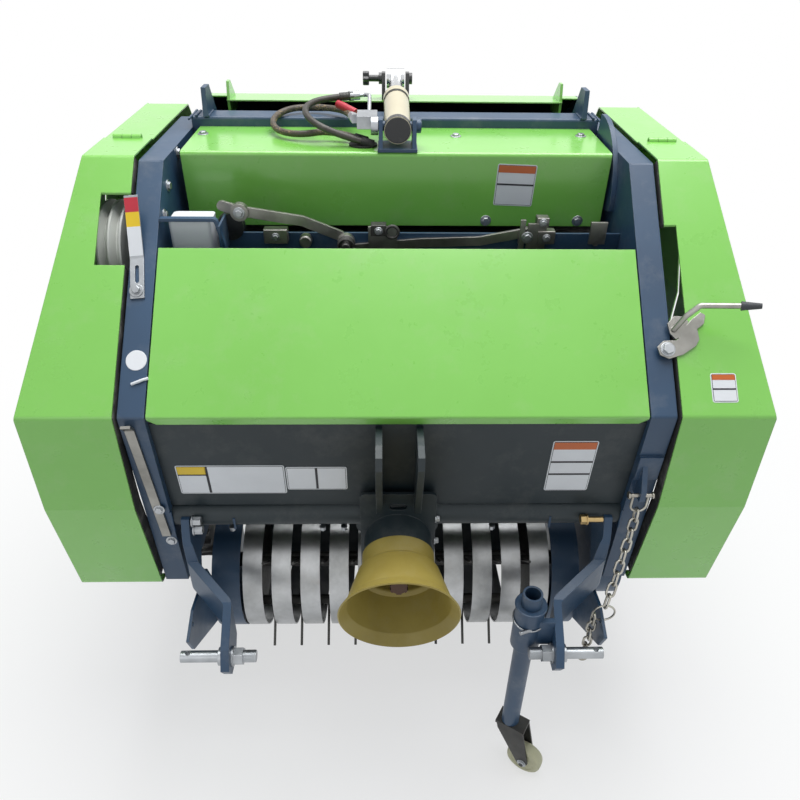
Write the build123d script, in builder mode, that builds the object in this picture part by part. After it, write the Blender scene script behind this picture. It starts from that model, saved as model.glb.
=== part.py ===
from build123d import *
import math
import os

# Round baler for a small tractor, carried on its three-point linkage. Millimetres.
# X runs to the right seen from the tractor, Y runs back from it, Z is up and 0 is the floor.
# Stations along Y are given as distances behind the front crease of the posts.

# Driving dimensions of the frame
CREASE_Y = -457.0
CREASE_Z = 900.0
BEND_BACK = 365.0
TOP_RISE = 328.0
TOP_Z = CREASE_Z + TOP_RISE
SPLIT_BACK = 700.0
FRAME_HALF = 437.0
FRAME_FOOT_Z = CREASE_Z - 470.0
POST_FOOT_BACK = 26.0
POST_FOOT_Z = FRAME_FOOT_Z + 32.0
PLATE = 5.0
POST_WIDTH = 46.0
SHEET = 3.0
FIT = 0.3
BEND_RADIUS = 8.0

# Bale chamber and its rollers
CHAMBER_BACK = SPLIT_BACK
CHAMBER_Z = FRAME_FOOT_Z + 360.0
ROLLER_CIRCLE = 305.0
ROLLER_RADIUS = 50.0
ROLLER_SHAFT = 15.0
ROLLER_GAP = 8.0
BEARING_RADIUS = 42.0
BEARING_DEPTH = 12.0
FRAME_ROLLERS = (104.0, 134.0, 164.0, 194.0, 238.0, 268.0)
GATE_ROLLERS = (74.0, 44.0, 14.0, -16.0, -46.0)

# Side covers: upright below the crease, leaning inward above it
COVER_INNER = FRAME_HALF + POST_WIDTH + 6.0
COVER_WIDTH = 165.0
COVER_OUTER = COVER_INNER + COVER_WIDTH
COVER_TOP_WIDTH = 96.0
COVER_BASE_Z = POST_FOOT_Z
COVER_TOP_Z = TOP_Z + 6.0
COVER_HINGE_BACK = BEND_BACK + 122.5
COVER_HINGE_Z = TOP_Z + 9.0
COVER_REAR_BACK = SPLIT_BACK + 200.0
KNUCKLE_X = COVER_INNER + 21.0
KNUCKLE_WIDTH = 18.0
KNUCKLE_RADIUS = 7.0
KNUCKLE_PIN = 3.5

# Front hood and its hinge bar
HOOD_TOP_BACK = BEND_BACK - 131.0
HOOD_HALF = FRAME_HALF - 2.5
HOOD_LIP = 20.0
HOOD_BAR_RADIUS = 8.0
HOOD_BAR_DEPTH = 15.0
HOOD_STRAP_X = 217.0
HOOD_STRAP_WIDTH = 60.0

# Upper hood and the beam behind it
UPPER_FRONT_BACK = BEND_BACK + 53.0
UPPER_FACE_Z = TOP_Z - 146.0
UPPER_HALF = FRAME_HALF - 17.0
BEAM_BACK = SPLIT_BACK - 92.0
BEAM_SIZE = 60.0
BEAM_TOP_Z = TOP_Z + 22.0
BEAM_WALL = 4.0

# Front cross tube, lower hitch arms and pins
TUBE_BACK = 40.0
TUBE_Z = CREASE_Z - 258.0
TUBE_RADIUS = 25.0
TUBE_WALL = 4.0
ARM_THICK = 16.0
ARM_TOP_X = FRAME_HALF - 27.0
ARM_PIN_LEFT_X = ARM_TOP_X - 85.0
ARM_PIN_RIGHT_X = ARM_TOP_X - 105.0
CRANK_BACK = -11.0
CRANK_FRONT = -94.0
PIN_BACK = -150.0
PIN_Z = TUBE_Z - 195.0
PIN_RADIUS = 11.0
PIN_LENGTH = 72.0
PIN_THREAD = 46.0
PIN_HOLE_INSET = 14.0
PIN_HOLE_RADIUS = 5.0
COLLAR_RADIUS = 17.0
COLLAR_DEPTH = 8.5

# Top-link lugs and the plate under them
LUG_GAP = 60.0
LUG_THICK = 12.0
LUG_HOLE_BACK = -48.0
LUG_HOLE_Z = TUBE_Z + 206.0
LUG_HOLE_RADIUS = 9.75
MAST_HALF = 73.0
MAST_THICK = 8.0

# Power take-off
PTO_Z = TUBE_Z - 50.0
PTO_END_BACK = -112.0
PTO_RADIUS = 17.45
PTO_SPLINE_ROOT = 14.9
PTO_SPLINES = 6
SHIELD_MOUTH_RADIUS = 111.5
SHIELD_NECK_RADIUS = 69.5
SHIELD_LENGTH = 127.0
SHIELD_BACK = -35.0
SHIELD_TILT = 8.0
GEARBOX_BACK = 78.0
GEARBOX_LENGTH = 160.0
GEARBOX_BASE_Z = PTO_Z - 50.0
GEARBOX_HEIGHT = 124.0
GEARBOX_WIDTH = 170.0
GEARBOX_SHAFT = 22.0

# Pickup
REEL_BACK = 200.0
REEL_Z = FRAME_FOOT_Z - 100.0
BAND_RADIUS = 150.0
BAND_WIDTH = 43.0
BAND_COUNT = 11
TINE_TIP = 200.0
TINE_BAR_CIRCLE = 95.0
TINE_BARS = 4
TINE_RADIUS = 3.0
PICKUP_SIDE_X = FRAME_HALF - 37.0
PICKUP_DRUM_X = PICKUP_SIDE_X - 55.0
PICKUP_REAR_BACK = REEL_BACK + 162.0
PICKUP_SIDE_THICK = 6.0
BAND_PITCH = (2 * (PICKUP_DRUM_X - 6) - BAND_WIDTH) / (BAND_COUNT - 1)

# Rear wheels
WHEEL_BACK = SPLIT_BACK - 100.0
WHEEL_RADIUS = 200.0
WHEEL_WIDTH = 95.0
WHEEL_INNER_X = FRAME_HALF + 65.0
RIM_RADIUS = 108.0
AXLE_RADIUS = 17.0
AXLE_BEAM_Z = WHEEL_RADIUS + 120.0
DROP_THICK = 12.0

# Jack and its castor
JACK_X = ARM_PIN_RIGHT_X - 53.0
JACK_BACK = PIN_BACK + 42.0
CASTOR_RADIUS = 40.0
CASTOR_WIDTH = 28.0
CASTOR_TRAIL = 48.0
CASTOR_HEADING = -32.0
LEG_RADIUS = 19.0
LEG_WALL = 4.0
LEG_BASE_Z = CASTOR_RADIUS + 110.0
LEG_TOP_Z = LEG_BASE_Z + 420.0
SLEEVE_RADIUS = 28.5
SLEEVE_BASE_Z = PIN_Z - 22.0
SLEEVE_TOP_Z = PIN_Z + 93.0

# Tailgate and its cylinder
GATE_GAP = 6.0
GATE_HINGE_BACK = SPLIT_BACK - 5.0
GATE_HINGE_Z = BEAM_TOP_Z - 45.0
GATE_PIN_RADIUS = 10.0
GATE_ARM_RADIUS = 17.0
GATE_BRACKET_X = FRAME_HALF - 37.0
GATE_BRACKET_THICK = 10.0
GATE_ARM_X = GATE_BRACKET_X + 12.0
EYE_SETBACK = 65.0
EYE_RISE = 95.0
EYE_BACK = GATE_HINGE_BACK + EYE_SETBACK
EYE_Z = GATE_HINGE_Z + EYE_RISE
EYE_RADIUS = 21.0
CYLINDER_BACK = UPPER_FRONT_BACK + 32.0
CYLINDER_Y = CREASE_Y + CYLINDER_BACK
CYLINDER_Z = TOP_Z + 44.0
BARREL_RADIUS = 26.0
BARREL_FRONT = 26.0
BARREL_LENGTH = 165.0
BARREL_FLOOR = 14.0
ROD_RADIUS = 15.0
ROD_INSIDE = 36.0
CYLINDER_PIN_RADIUS = 9.0
EAR_THICK = 8.0
EAR_GAP = 57.0

# Hydraulic hoses, from the boot in the upper hood to the block beside the cylinder
HOSE_RADIUS = 6.5
HOSE_FRONT = (
    (-72.0, 39.0, 13.0),
    (-130.0, 39.0, 29.0),
    (-178.7, 75.7, 46.0),
    (-189.3, 135.8, 56.0),
    (-155.2, 186.3, 61.0),
    (-98.6, 199.4, 63.0),
)
HOSE_REAR = (
    (-84.0, 64.0, 13.0),
    (-134.6, 84.8, 22.0),
    (-194.0, 73.3, 15.0),
    (-246.8, 103.8, 15.0),
    (-262.6, 162.7, 25.0),
    (-232.1, 215.5, 34.0),
    (-173.2, 231.3, 34.0),
    (-120.4, 200.8, 36.0),
    (-97.9, 145.2, 40.0),
    (-88.2, 90.0, 46.0),
)

# Belt pulley, twine gear and roller drive
PULLEY_BACK = BEND_BACK - 26.0
PULLEY_Z = TOP_Z - 170.0
PULLEY_RADIUS = 100.0
PULLEY_X = FRAME_HALF + 71.0
PULLEY_WIDTH = 46.0
RAIL_BACK = HOOD_TOP_BACK + 101.0
RAIL_Z = TOP_Z - 168.0
SPROCKET_RADIUS = 40.0
SPROCKET_X = FRAME_HALF + PLATE + BEARING_DEPTH + 7.0
SPROCKET_WIDTH = 10.0
DRIVE_CHAIN_DEPTH = 8.0

# Latch, indicator and lever on the posts and covers
LATCH_BOLT_X = FRAME_HALF + 34.0
LATCH_THICK = 4.0
LATCH_ROD_RADIUS = 5.0
GRIP_RADIUS = 8.0
INDICATOR_X = -(FRAME_HALF + 13.9)
INDICATOR_WIDTH = 24.6
LEVER_X = -(FRAME_HALF + 17.0)
LEVER_WIDTH = 17.0

# Safety chain, from a shackle on the right post to a ring in the right nose plate
CHAIN_WIRE = 5.0
LINK_LENGTH = 34.4
LINK_WIDTH = 21.0
LINK_PLAY = 0.3
SHACKLE_X = FRAME_HALF + 14.0
SHACKLE_OUT = 13.0
SHACKLE_Z = CREASE_Z - 170.0
SHACKLE_DROP = 40.0
RING_RADIUS = 22.0
RING_WIRE = 4.0
RING_HOLE_BACK = -80.0
RING_HOLE_Z = PIN_Z + 5.0
RING_HOLE_RADIUS = 5.0
TAIL_ANGLE = 215.0
TAIL_LINKS = 6

SIDES = ((-1, "left"), (1, "right"))


def back(distance):
    return CREASE_Y + distance


def spot(distance, height):
    """A point of a side profile, from its distance behind the crease and its height."""
    return (back(distance), height)


def spots(table):
    return [spot(distance, height) for distance, height in table]


def around(distance, height, radius, angle):
    """A point of a side profile on a circle, its angle counted from straight back towards up."""
    turn = math.radians(angle)
    return (distance + radius * math.cos(turn), height + radius * math.sin(turn))


def on_slope(distance):
    """Height of the posts' sloping face at a distance behind the crease."""
    return CREASE_Z + (TOP_Z - CREASE_Z) * distance / BEND_BACK


def flange_face(height):
    """Distance of the posts' lower face behind the crease at a height."""
    return POST_FOOT_BACK * (CREASE_Z - height) / (CREASE_Z - POST_FOOT_Z)


def write(part, name):
    part.label = name
    export_step(part, f"parts/{name}.step")


def folded_sheet(x, width, table, thickness, side_of_line=Side.RIGHT, bend=BEND_RADIUS):
    """A sheet bent along a side profile and as wide as given, starting at x."""
    with BuildPart() as sheet:
        with BuildSketch(Plane.YZ.offset(x)):
            with BuildLine():
                if len(table) > 2:
                    FilletPolyline(*spots(table), radius=bend)
                else:
                    Line(*spots(table))
                offset(amount=thickness, side=side_of_line)
            make_face()
        extrude(amount=width)
    return sheet.part


def plate(x, width, table):
    """A flat plate of the side profile given, as thick as width."""
    with BuildPart() as flat:
        with BuildSketch(Plane.YZ.offset(x)):
            with BuildLine():
                Polyline(*spots(table), close=True)
            make_face()
        extrude(amount=width)
    return flat.part


def rod_x(x, width, distance, height, radius):
    """A round bar along X."""
    with BuildPart() as bar:
        with BuildSketch(Plane.YZ.offset(x)):
            with Locations(spot(distance, height)):
                Circle(radius)
        extrude(amount=width)
    return bar.part


# Posts, side plates and roller bearings

FRAME_OUTLINE = (
    (0.0, CREASE_Z),
    (BEND_BACK, TOP_Z),
    (SPLIT_BACK, TOP_Z),
    (SPLIT_BACK, FRAME_FOOT_Z),
    (150.0, FRAME_FOOT_Z),
    (POST_FOOT_BACK, POST_FOOT_Z),
)


def shackle_bracket():
    """Pad on the right post's lower face and the ear that carries the chain's shackle."""
    pad_low = SHACKLE_Z + 24
    pad_high = SHACKLE_Z + 79
    pad = (
        (flange_face(pad_low) + 1, pad_low),
        (flange_face(pad_low) - 6, pad_low),
        (flange_face(pad_high) - 6, pad_high),
        (flange_face(pad_high) + 1, pad_high),
    )
    ear = (
        (flange_face(pad_high) + 1, pad_high - 8),
        (-SHACKLE_OUT - 9, SHACKLE_Z + 12),
        (-SHACKLE_OUT - 9, SHACKLE_Z - 9),
        (flange_face(SHACKLE_Z) + 1, SHACKLE_Z - 14),
    )
    with BuildPart() as bracket:
        add(plate(FRAME_HALF, POST_WIDTH - 3, pad))
        add(plate(SHACKLE_X - 5, 10, ear))
        add(rod_x(SHACKLE_X - 6, 12, -SHACKLE_OUT, SHACKLE_Z, 4 + FIT), mode=Mode.SUBTRACT)
    return bracket.part


def side_frame(side):
    with BuildPart() as frame:
        add(plate(side * FRAME_HALF, side * PLATE, FRAME_OUTLINE))
        flange = (
            (POST_FOOT_BACK, POST_FOOT_Z),
            (0.0, CREASE_Z),
            (BEND_BACK, TOP_Z),
            (SPLIT_BACK, TOP_Z),
        )
        add(folded_sheet(side * FRAME_HALF, side * POST_WIDTH, flange, PLATE))
        for angle in FRAME_ROLLERS:
            centre = around(CHAMBER_BACK, CHAMBER_Z, ROLLER_CIRCLE, angle)
            add(rod_x(side * (FRAME_HALF + PLATE), side * BEARING_DEPTH, *centre, BEARING_RADIUS))
        for angle in FRAME_ROLLERS:
            centre = around(CHAMBER_BACK, CHAMBER_Z, ROLLER_CIRCLE, angle)
            bore = rod_x(side * (FRAME_HALF - 1), side * 40, *centre, ROLLER_SHAFT + FIT)
            add(bore, mode=Mode.SUBTRACT)
        if side > 0:
            add(shackle_bracket())
    return frame.part


def rollers(angles):
    """Ribbed drums across the chamber, each with a shaft into the bearings."""
    drum_half = FRAME_HALF - ROLLER_GAP
    shaft_half = FRAME_HALF + PLATE + BEARING_DEPTH
    with BuildPart() as drums:
        for angle in angles:
            centre = around(CHAMBER_BACK, CHAMBER_Z, ROLLER_CIRCLE, angle)
            with BuildSketch(Plane.YZ.offset(-drum_half)):
                with Locations(spot(*centre)):
                    Circle(ROLLER_RADIUS - 6)
                    with PolarLocations(ROLLER_RADIUS - 6, 6):
                        Rectangle(12, 14)
            extrude(amount=2 * drum_half)
            add(rod_x(-shaft_half, 2 * shaft_half, *centre, ROLLER_SHAFT))
    return drums.part


# Front cross tube, front panel, hitch mast

def front_tube():
    with BuildPart() as tube:
        add(rod_x(-FRAME_HALF, 2 * FRAME_HALF, TUBE_BACK, TUBE_Z, TUBE_RADIUS))
        bore = rod_x(-FRAME_HALF, 2 * FRAME_HALF, TUBE_BACK, TUBE_Z, TUBE_RADIUS - TUBE_WALL)
        add(bore, mode=Mode.SUBTRACT)
    return tube.part


PANEL_TOP = (12.0, CREASE_Z - HOOD_LIP)
PANEL_FOOT = (30.0, TUBE_Z + TUBE_RADIUS + 3.0)


def panel_front(height):
    """Distance of the front panel's face behind the crease at a height."""
    share = (PANEL_TOP[1] - height) / (PANEL_TOP[1] - PANEL_FOOT[1])
    return PANEL_TOP[0] + share * (PANEL_FOOT[0] - PANEL_TOP[0])


def front_panel():
    return folded_sheet(-FRAME_HALF, 2 * FRAME_HALF, (PANEL_FOOT, PANEL_TOP), SHEET)


def hitch_mast():
    """Plate under the top-link lugs, the lugs, and the collar that the shield sits on."""
    face_back = TUBE_BACK - TUBE_RADIUS - FIT - MAST_THICK
    lug_low = TUBE_Z + 48
    lug_top = LUG_HOLE_Z + 25.0
    lug = (
        (panel_front(lug_top), lug_top),
        (LUG_HOLE_BACK + 6, lug_top),
        (LUG_HOLE_BACK - 22, LUG_HOLE_Z + 20),
        (LUG_HOLE_BACK - 27, LUG_HOLE_Z - 5),
        (LUG_HOLE_BACK - 14, LUG_HOLE_Z - 40),
        (face_back - 24, lug_low),
        (face_back, lug_low),
        (face_back, TUBE_Z + 74),
        (panel_front(TUBE_Z + 74), TUBE_Z + 74),
    )
    with BuildPart() as mast:
        with BuildSketch(Plane.XZ.offset(-back(face_back + MAST_THICK))):
            with Locations((0, (TUBE_Z + 74 + PTO_Z - 75) / 2)):
                RectangleRounded(2 * MAST_HALF, TUBE_Z + 74 - PTO_Z + 75, 10)
            with Locations((0, TUBE_Z + 42)):
                SlotOverall(34, 16, mode=Mode.SUBTRACT)
        extrude(amount=MAST_THICK)
        collar_plane = Plane(
            origin=(0, back(SHIELD_BACK - 8), PTO_Z - 1),
            x_dir=(1, 0, 0),
            z_dir=(0, math.cos(math.radians(SHIELD_TILT)), math.sin(math.radians(SHIELD_TILT))),
        )
        with BuildSketch(collar_plane):
            Circle(SHIELD_NECK_RADIUS - SHEET - FIT)
        extrude(amount=60)
        split(bisect_by=Plane.XZ.offset(-back(face_back + MAST_THICK)), keep=Keep.TOP)
        for x in (-LUG_GAP / 2 - LUG_THICK, LUG_GAP / 2):
            add(plate(x, LUG_THICK, lug))
        with BuildSketch(Plane.YZ.offset(-MAST_HALF)):
            with Locations(spot(LUG_HOLE_BACK, LUG_HOLE_Z)):
                Circle(LUG_HOLE_RADIUS)
        extrude(amount=2 * MAST_HALF, mode=Mode.SUBTRACT)
        with BuildSketch(Plane.XZ.offset(-back(face_back + MAST_THICK))):
            with Locations((0, PTO_Z)):
                Circle(27)
        extrude(amount=90, mode=Mode.SUBTRACT)
    return mast.part


def pto_shaft():
    with BuildPart() as shaft:
        with BuildSketch(Plane.XZ.offset(-back(PTO_END_BACK))):
            with Locations((0, PTO_Z)):
                Circle(PTO_RADIUS)
                with PolarLocations(PTO_RADIUS, PTO_SPLINES):
                    Rectangle(2 * (PTO_RADIUS - PTO_SPLINE_ROOT), 8.6, mode=Mode.SUBTRACT)
        extrude(amount=-76)
        with BuildSketch(Plane.XZ.offset(-back(PTO_END_BACK + 76))):
            with Locations((0, PTO_Z)):
                Circle(PTO_RADIUS)
        extrude(amount=-(GEARBOX_BACK - PTO_END_BACK - 76 + 20))
    return shaft.part


def gearbox():
    centre_back = GEARBOX_BACK + GEARBOX_LENGTH / 2
    centre_z = GEARBOX_BASE_Z + GEARBOX_HEIGHT / 2
    with BuildPart() as box:
        with BuildSketch(Plane.XZ.offset(-back(GEARBOX_BACK))):
            with Locations((0, centre_z)):
                RectangleRounded(GEARBOX_WIDTH, GEARBOX_HEIGHT, 22)
        extrude(amount=-GEARBOX_LENGTH)
        with BuildSketch(Plane.XZ.offset(-back(GEARBOX_BACK))):
            with Locations((0, PTO_Z)):
                Circle(PTO_RADIUS + FIT)
        extrude(amount=-24, mode=Mode.SUBTRACT)
        reach = FRAME_HALF - GEARBOX_WIDTH / 2
        add(rod_x(GEARBOX_WIDTH / 2, reach, centre_back, centre_z, GEARBOX_SHAFT))
        add(rod_x(-FRAME_HALF, reach, centre_back, centre_z, GEARBOX_SHAFT))
    return box.part


def pto_shield():
    """Stepped plastic cone, hanging a little nose down on its collar."""
    tilt = math.radians(SHIELD_TILT)
    neck = SHIELD_NECK_RADIUS
    mouth = SHIELD_MOUTH_RADIUS
    step = (mouth - 13, SHIELD_LENGTH - 20)
    outside = ((neck, 0), (neck, 34), (neck + 8, 40), step, (mouth, SHIELD_LENGTH))
    plane = Plane(
        origin=(0, back(SHIELD_BACK), PTO_Z),
        x_dir=(1, 0, 0),
        z_dir=(0, math.sin(tilt), -math.cos(tilt)),
    )
    with BuildPart() as shield:
        with BuildSketch(plane):
            with BuildLine():
                FilletPolyline(*[(radius, length) for radius, length in outside], radius=4)
                offset(amount=SHEET, side=Side.LEFT)
            make_face()
        revolve(axis=Axis(plane.origin, plane.y_dir))
    return shield.part


# Lower hitch arms and pins

def arm_pin_x(side):
    if side < 0:
        return ARM_PIN_LEFT_X
    return ARM_PIN_RIGHT_X


def hitch_arm(side):
    half = ARM_THICK / 2
    pin_x = arm_pin_x(side)
    side_view = (
        (8.0, TUBE_Z + 10),
        (-12.0, TUBE_Z - 42),
        (-18.0, TUBE_Z - 80),
        (-94.0, PIN_Z + 88),
        (-162.0, PIN_Z + 35),
        (-184.0, PIN_Z),
        (-168.0, PIN_Z - 30),
        (-132.0, PIN_Z - 34),
        (-80.0, PIN_Z + 15),
        (20.0, TUBE_Z - 142),
        (68.0, TUBE_Z - 52),
        (68.0, TUBE_Z + 10),
    )
    plan = (
        (side * ARM_TOP_X, back(90)),
        (side * ARM_TOP_X, back(CRANK_BACK)),
        (side * pin_x, back(CRANK_FRONT)),
        (side * pin_x, back(-200)),
    )
    with BuildPart() as arm:
        with BuildSketch(Plane.XY.offset(PIN_Z - 67)):
            with BuildLine():
                FilletPolyline(*plan, radius=14)
                offset(amount=half, side=Side.BOTH)
            make_face()
        extrude(amount=TUBE_Z - PIN_Z + 145)
        with BuildSketch(Plane.YZ.offset(side * (pin_x - 25))):
            with BuildLine():
                Polyline(*spots(side_view), close=True)
            make_face()
        extrude(amount=side * (ARM_TOP_X - pin_x + 60), mode=Mode.INTERSECT)
        tube = rod_x(side * (ARM_TOP_X - 30), side * 60, TUBE_BACK, TUBE_Z, TUBE_RADIUS + FIT)
        add(tube, mode=Mode.SUBTRACT)
        pin = rod_x(side * (pin_x - 24), side * 48, PIN_BACK, PIN_Z, PIN_RADIUS + FIT)
        add(pin, mode=Mode.SUBTRACT)
    return arm.part


def hitch_pin(side):
    """Threaded pin with its nut and washer inside the arm and its collar outside."""
    inner = arm_pin_x(side) - ARM_THICK / 2
    outer = arm_pin_x(side) + ARM_THICK / 2
    threaded = PIN_THREAD + ARM_THICK
    with BuildPart() as pin:
        add(rod_x(side * (inner - PIN_THREAD), side * threaded, PIN_BACK, PIN_Z, PIN_RADIUS))
        add(rod_x(side * (inner - 4), side * 4, PIN_BACK, PIN_Z, COLLAR_RADIUS + 2))
        with BuildSketch(Plane.YZ.offset(side * (inner - 22))):
            with Locations(spot(PIN_BACK, PIN_Z)):
                RegularPolygon(17, 6)
        extrude(amount=side * 18)
        add(rod_x(side * outer, side * COLLAR_DEPTH, PIN_BACK, PIN_Z, COLLAR_RADIUS))
        add(rod_x(side * outer, side * (COLLAR_DEPTH + PIN_LENGTH), PIN_BACK, PIN_Z, PIN_RADIUS))
        with BuildSketch(Plane.XY.offset(PIN_Z - 20)):
            with Locations((side * (outer + COLLAR_DEPTH + PIN_LENGTH - PIN_HOLE_INSET), back(PIN_BACK))):
                Circle(PIN_HOLE_RADIUS)
        extrude(amount=40, mode=Mode.SUBTRACT)
    return pin.part


# Front hood with its hinge bar

HOOD_BAR_BACK = HOOD_TOP_BACK - 12.0
HOOD_BAR_Z = on_slope(HOOD_BAR_BACK) - HOOD_BAR_DEPTH / math.cos(math.atan2(TOP_Z - CREASE_Z, BEND_BACK))


def hood_bar():
    return rod_x(-FRAME_HALF, 2 * FRAME_HALF, HOOD_BAR_BACK, HOOD_BAR_Z, HOOD_BAR_RADIUS)


def front_hood():
    outer_line = ((9.0, CREASE_Z - HOOD_LIP), (0.0, CREASE_Z), (HOOD_TOP_BACK, on_slope(HOOD_TOP_BACK)))
    ring = HOOD_BAR_DEPTH - SHEET + 0.5
    with BuildPart() as hood:
        add(folded_sheet(-HOOD_HALF, 2 * HOOD_HALF, outer_line, SHEET, bend=5))
        for side, _ in SIDES:
            with BuildSketch(Plane.XZ.offset(-back(-5))):
                with BuildLine():
                    Polyline(
                        (side * (HOOD_HALF + 1), CREASE_Z - HOOD_LIP - 1),
                        (side * (HOOD_HALF - 14), CREASE_Z - HOOD_LIP - 1),
                        (side * (HOOD_HALF + 1), CREASE_Z - HOOD_LIP + 14),
                        close=True,
                    )
                make_face()
            extrude(amount=-30, mode=Mode.SUBTRACT)
        for x in (-HOOD_STRAP_X, HOOD_STRAP_X):
            start = x - HOOD_STRAP_WIDTH / 2
            add(rod_x(start, HOOD_STRAP_WIDTH, HOOD_BAR_BACK, HOOD_BAR_Z, ring))
            bore = rod_x(start, HOOD_STRAP_WIDTH, HOOD_BAR_BACK, HOOD_BAR_Z, HOOD_BAR_RADIUS + FIT)
            add(bore, mode=Mode.SUBTRACT)
    return hood.part


def upper_hood():
    rear = (BEAM_BACK, TOP_Z + 2)
    corner = (UPPER_FRONT_BACK, TOP_Z + 2)
    foot = (UPPER_FRONT_BACK + 3, UPPER_FACE_Z)
    return folded_sheet(-UPPER_HALF, 2 * UPPER_HALF, (rear, corner, foot), SHEET, side_of_line=Side.LEFT)


def top_beam():
    """Square tube behind the upper hood, with the ledge that the hood's rear edge lies on."""
    centre = (BEAM_BACK + BEAM_SIZE / 2, BEAM_TOP_Z - BEAM_SIZE / 2)
    with BuildPart() as beam:
        with BuildSketch(Plane.YZ.offset(-FRAME_HALF)):
            with Locations(spot(*centre)):
                RectangleRounded(BEAM_SIZE, BEAM_SIZE, 6)
                RectangleRounded(BEAM_SIZE - 2 * BEAM_WALL, BEAM_SIZE - 2 * BEAM_WALL, 3, mode=Mode.SUBTRACT)
        extrude(amount=2 * FRAME_HALF)
        ledge_top = TOP_Z + 2 - SHEET
        ledge = (
            (BEAM_BACK - 24, ledge_top),
            (BEAM_BACK + 1, ledge_top),
            (BEAM_BACK + 1, ledge_top - 5),
            (BEAM_BACK - 24, ledge_top - 5),
        )
        add(plate(-UPPER_HALF, 2 * UPPER_HALF, ledge))
    return beam.part


def gate_bracket(side):
    """Hinge ear of the tailgate: it stands on the beam and reaches down behind it."""
    rear = BEAM_BACK + BEAM_SIZE
    outline = (
        (BEAM_BACK - 4, BEAM_TOP_Z),
        (BEAM_BACK + 6, BEAM_TOP_Z + 56),
        (BEAM_BACK + 42, BEAM_TOP_Z + 56),
        (GATE_HINGE_BACK + 16, GATE_HINGE_Z + 16),
        (GATE_HINGE_BACK + 16, GATE_HINGE_Z - 16),
        (GATE_HINGE_BACK - 10, GATE_HINGE_Z - 16),
        (rear, GATE_HINGE_Z - 4),
        (rear, BEAM_TOP_Z),
    )
    inner = side * GATE_BRACKET_X
    with BuildPart() as bracket:
        add(plate(inner, side * GATE_BRACKET_THICK, outline))
        reach = GATE_ARM_X + 10 - GATE_BRACKET_X + 4
        add(rod_x(inner, side * reach, GATE_HINGE_BACK, GATE_HINGE_Z, GATE_PIN_RADIUS))
    return bracket.part


# Tailgate

GATE_SKIN = (
    (GATE_HINGE_BACK + 25, GATE_HINGE_Z + 55),
    (CHAMBER_BACK + 138, GATE_HINGE_Z + 45),
    (CHAMBER_BACK + 306, CHAMBER_Z + 350),
    (CHAMBER_BACK + 398, CHAMBER_Z + 140),
    (CHAMBER_BACK + 398, CHAMBER_Z - 130),
    (CHAMBER_BACK + 306, CHAMBER_Z - 310),
    (CHAMBER_BACK + 160, CHAMBER_Z - 372),
    (SPLIT_BACK + GATE_GAP, CHAMBER_Z - 376),
)


def skin_top(distance):
    """Height of the tailgate's top strip at a distance behind the crease."""
    (front, front_z), (rear, rear_z) = GATE_SKIN[:2]
    return front_z + (rear_z - front_z) * (distance - front) / (rear - front)


def gate_skin():
    notch_x = FRAME_HALF - 57.0
    notch_depth = 70.0
    front = GATE_SKIN[0][0]
    foot_z = GATE_HINGE_Z + 20
    gusset = (
        (front + 2, GATE_HINGE_Z + 51),
        (front + 14, GATE_HINGE_Z + 91),
        (front + 32, GATE_HINGE_Z + 91),
        (front + 92, GATE_HINGE_Z + 35),
        (front + 92, foot_z),
        (front + 2, foot_z),
    )
    with BuildPart() as skin:
        add(folded_sheet(-FRAME_HALF, 2 * FRAME_HALF, GATE_SKIN, SHEET, bend=20))
        for side, _ in SIDES:
            middle = side * (notch_x + FRAME_HALF + 1) / 2
            with BuildSketch(Plane.XY.offset(GATE_HINGE_Z - 25)):
                with Locations((middle, back(front + notch_depth - 60))):
                    Rectangle(FRAME_HALF + 1 - notch_x, 120)
            extrude(amount=120, mode=Mode.SUBTRACT)
            add(plate(side * (notch_x - 6), side * 6, gusset))
    return skin.part


def gate_side(side):
    front = SPLIT_BACK + GATE_GAP
    outline = [(front, GATE_HINGE_Z - 11), (front + 36, GATE_HINGE_Z + 39)]
    for corner in GATE_SKIN[1:]:
        outline.append(corner)
    arm_rear = GATE_HINGE_BACK + 105
    arm = (
        (GATE_HINGE_BACK - 4, GATE_HINGE_Z - GATE_ARM_RADIUS),
        (GATE_HINGE_BACK + 4, GATE_HINGE_Z + GATE_ARM_RADIUS),
        (arm_rear, GATE_HINGE_Z),
        (arm_rear, GATE_HINGE_Z - 55),
    )
    spacer = (
        (arm_rear - 56, GATE_HINGE_Z - 13),
        (arm_rear, GATE_HINGE_Z - 13),
        (arm_rear, GATE_HINGE_Z - 45),
        (arm_rear - 56, GATE_HINGE_Z - 45),
    )
    hinge = (GATE_HINGE_BACK, GATE_HINGE_Z)
    centres = [around(CHAMBER_BACK, CHAMBER_Z, ROLLER_CIRCLE, angle) for angle in GATE_ROLLERS]
    with BuildPart() as wall:
        add(plate(side * FRAME_HALF, side * PLATE, outline))
        for centre in centres:
            add(rod_x(side * (FRAME_HALF + PLATE), side * BEARING_DEPTH, *centre, BEARING_RADIUS))
        for centre in centres:
            bore = rod_x(side * (FRAME_HALF - 1), side * 40, *centre, ROLLER_SHAFT + FIT)
            add(bore, mode=Mode.SUBTRACT)
        add(plate(side * GATE_ARM_X, side * 10, arm))
        add(rod_x(side * GATE_ARM_X, side * 10, *hinge, GATE_ARM_RADIUS))
        add(plate(side * (GATE_ARM_X + 9), side * (FRAME_HALF - GATE_ARM_X - 8), spacer))
        pin = rod_x(side * (GATE_ARM_X - 1), side * 12, *hinge, GATE_PIN_RADIUS + FIT)
        add(pin, mode=Mode.SUBTRACT)
    return wall.part


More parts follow.
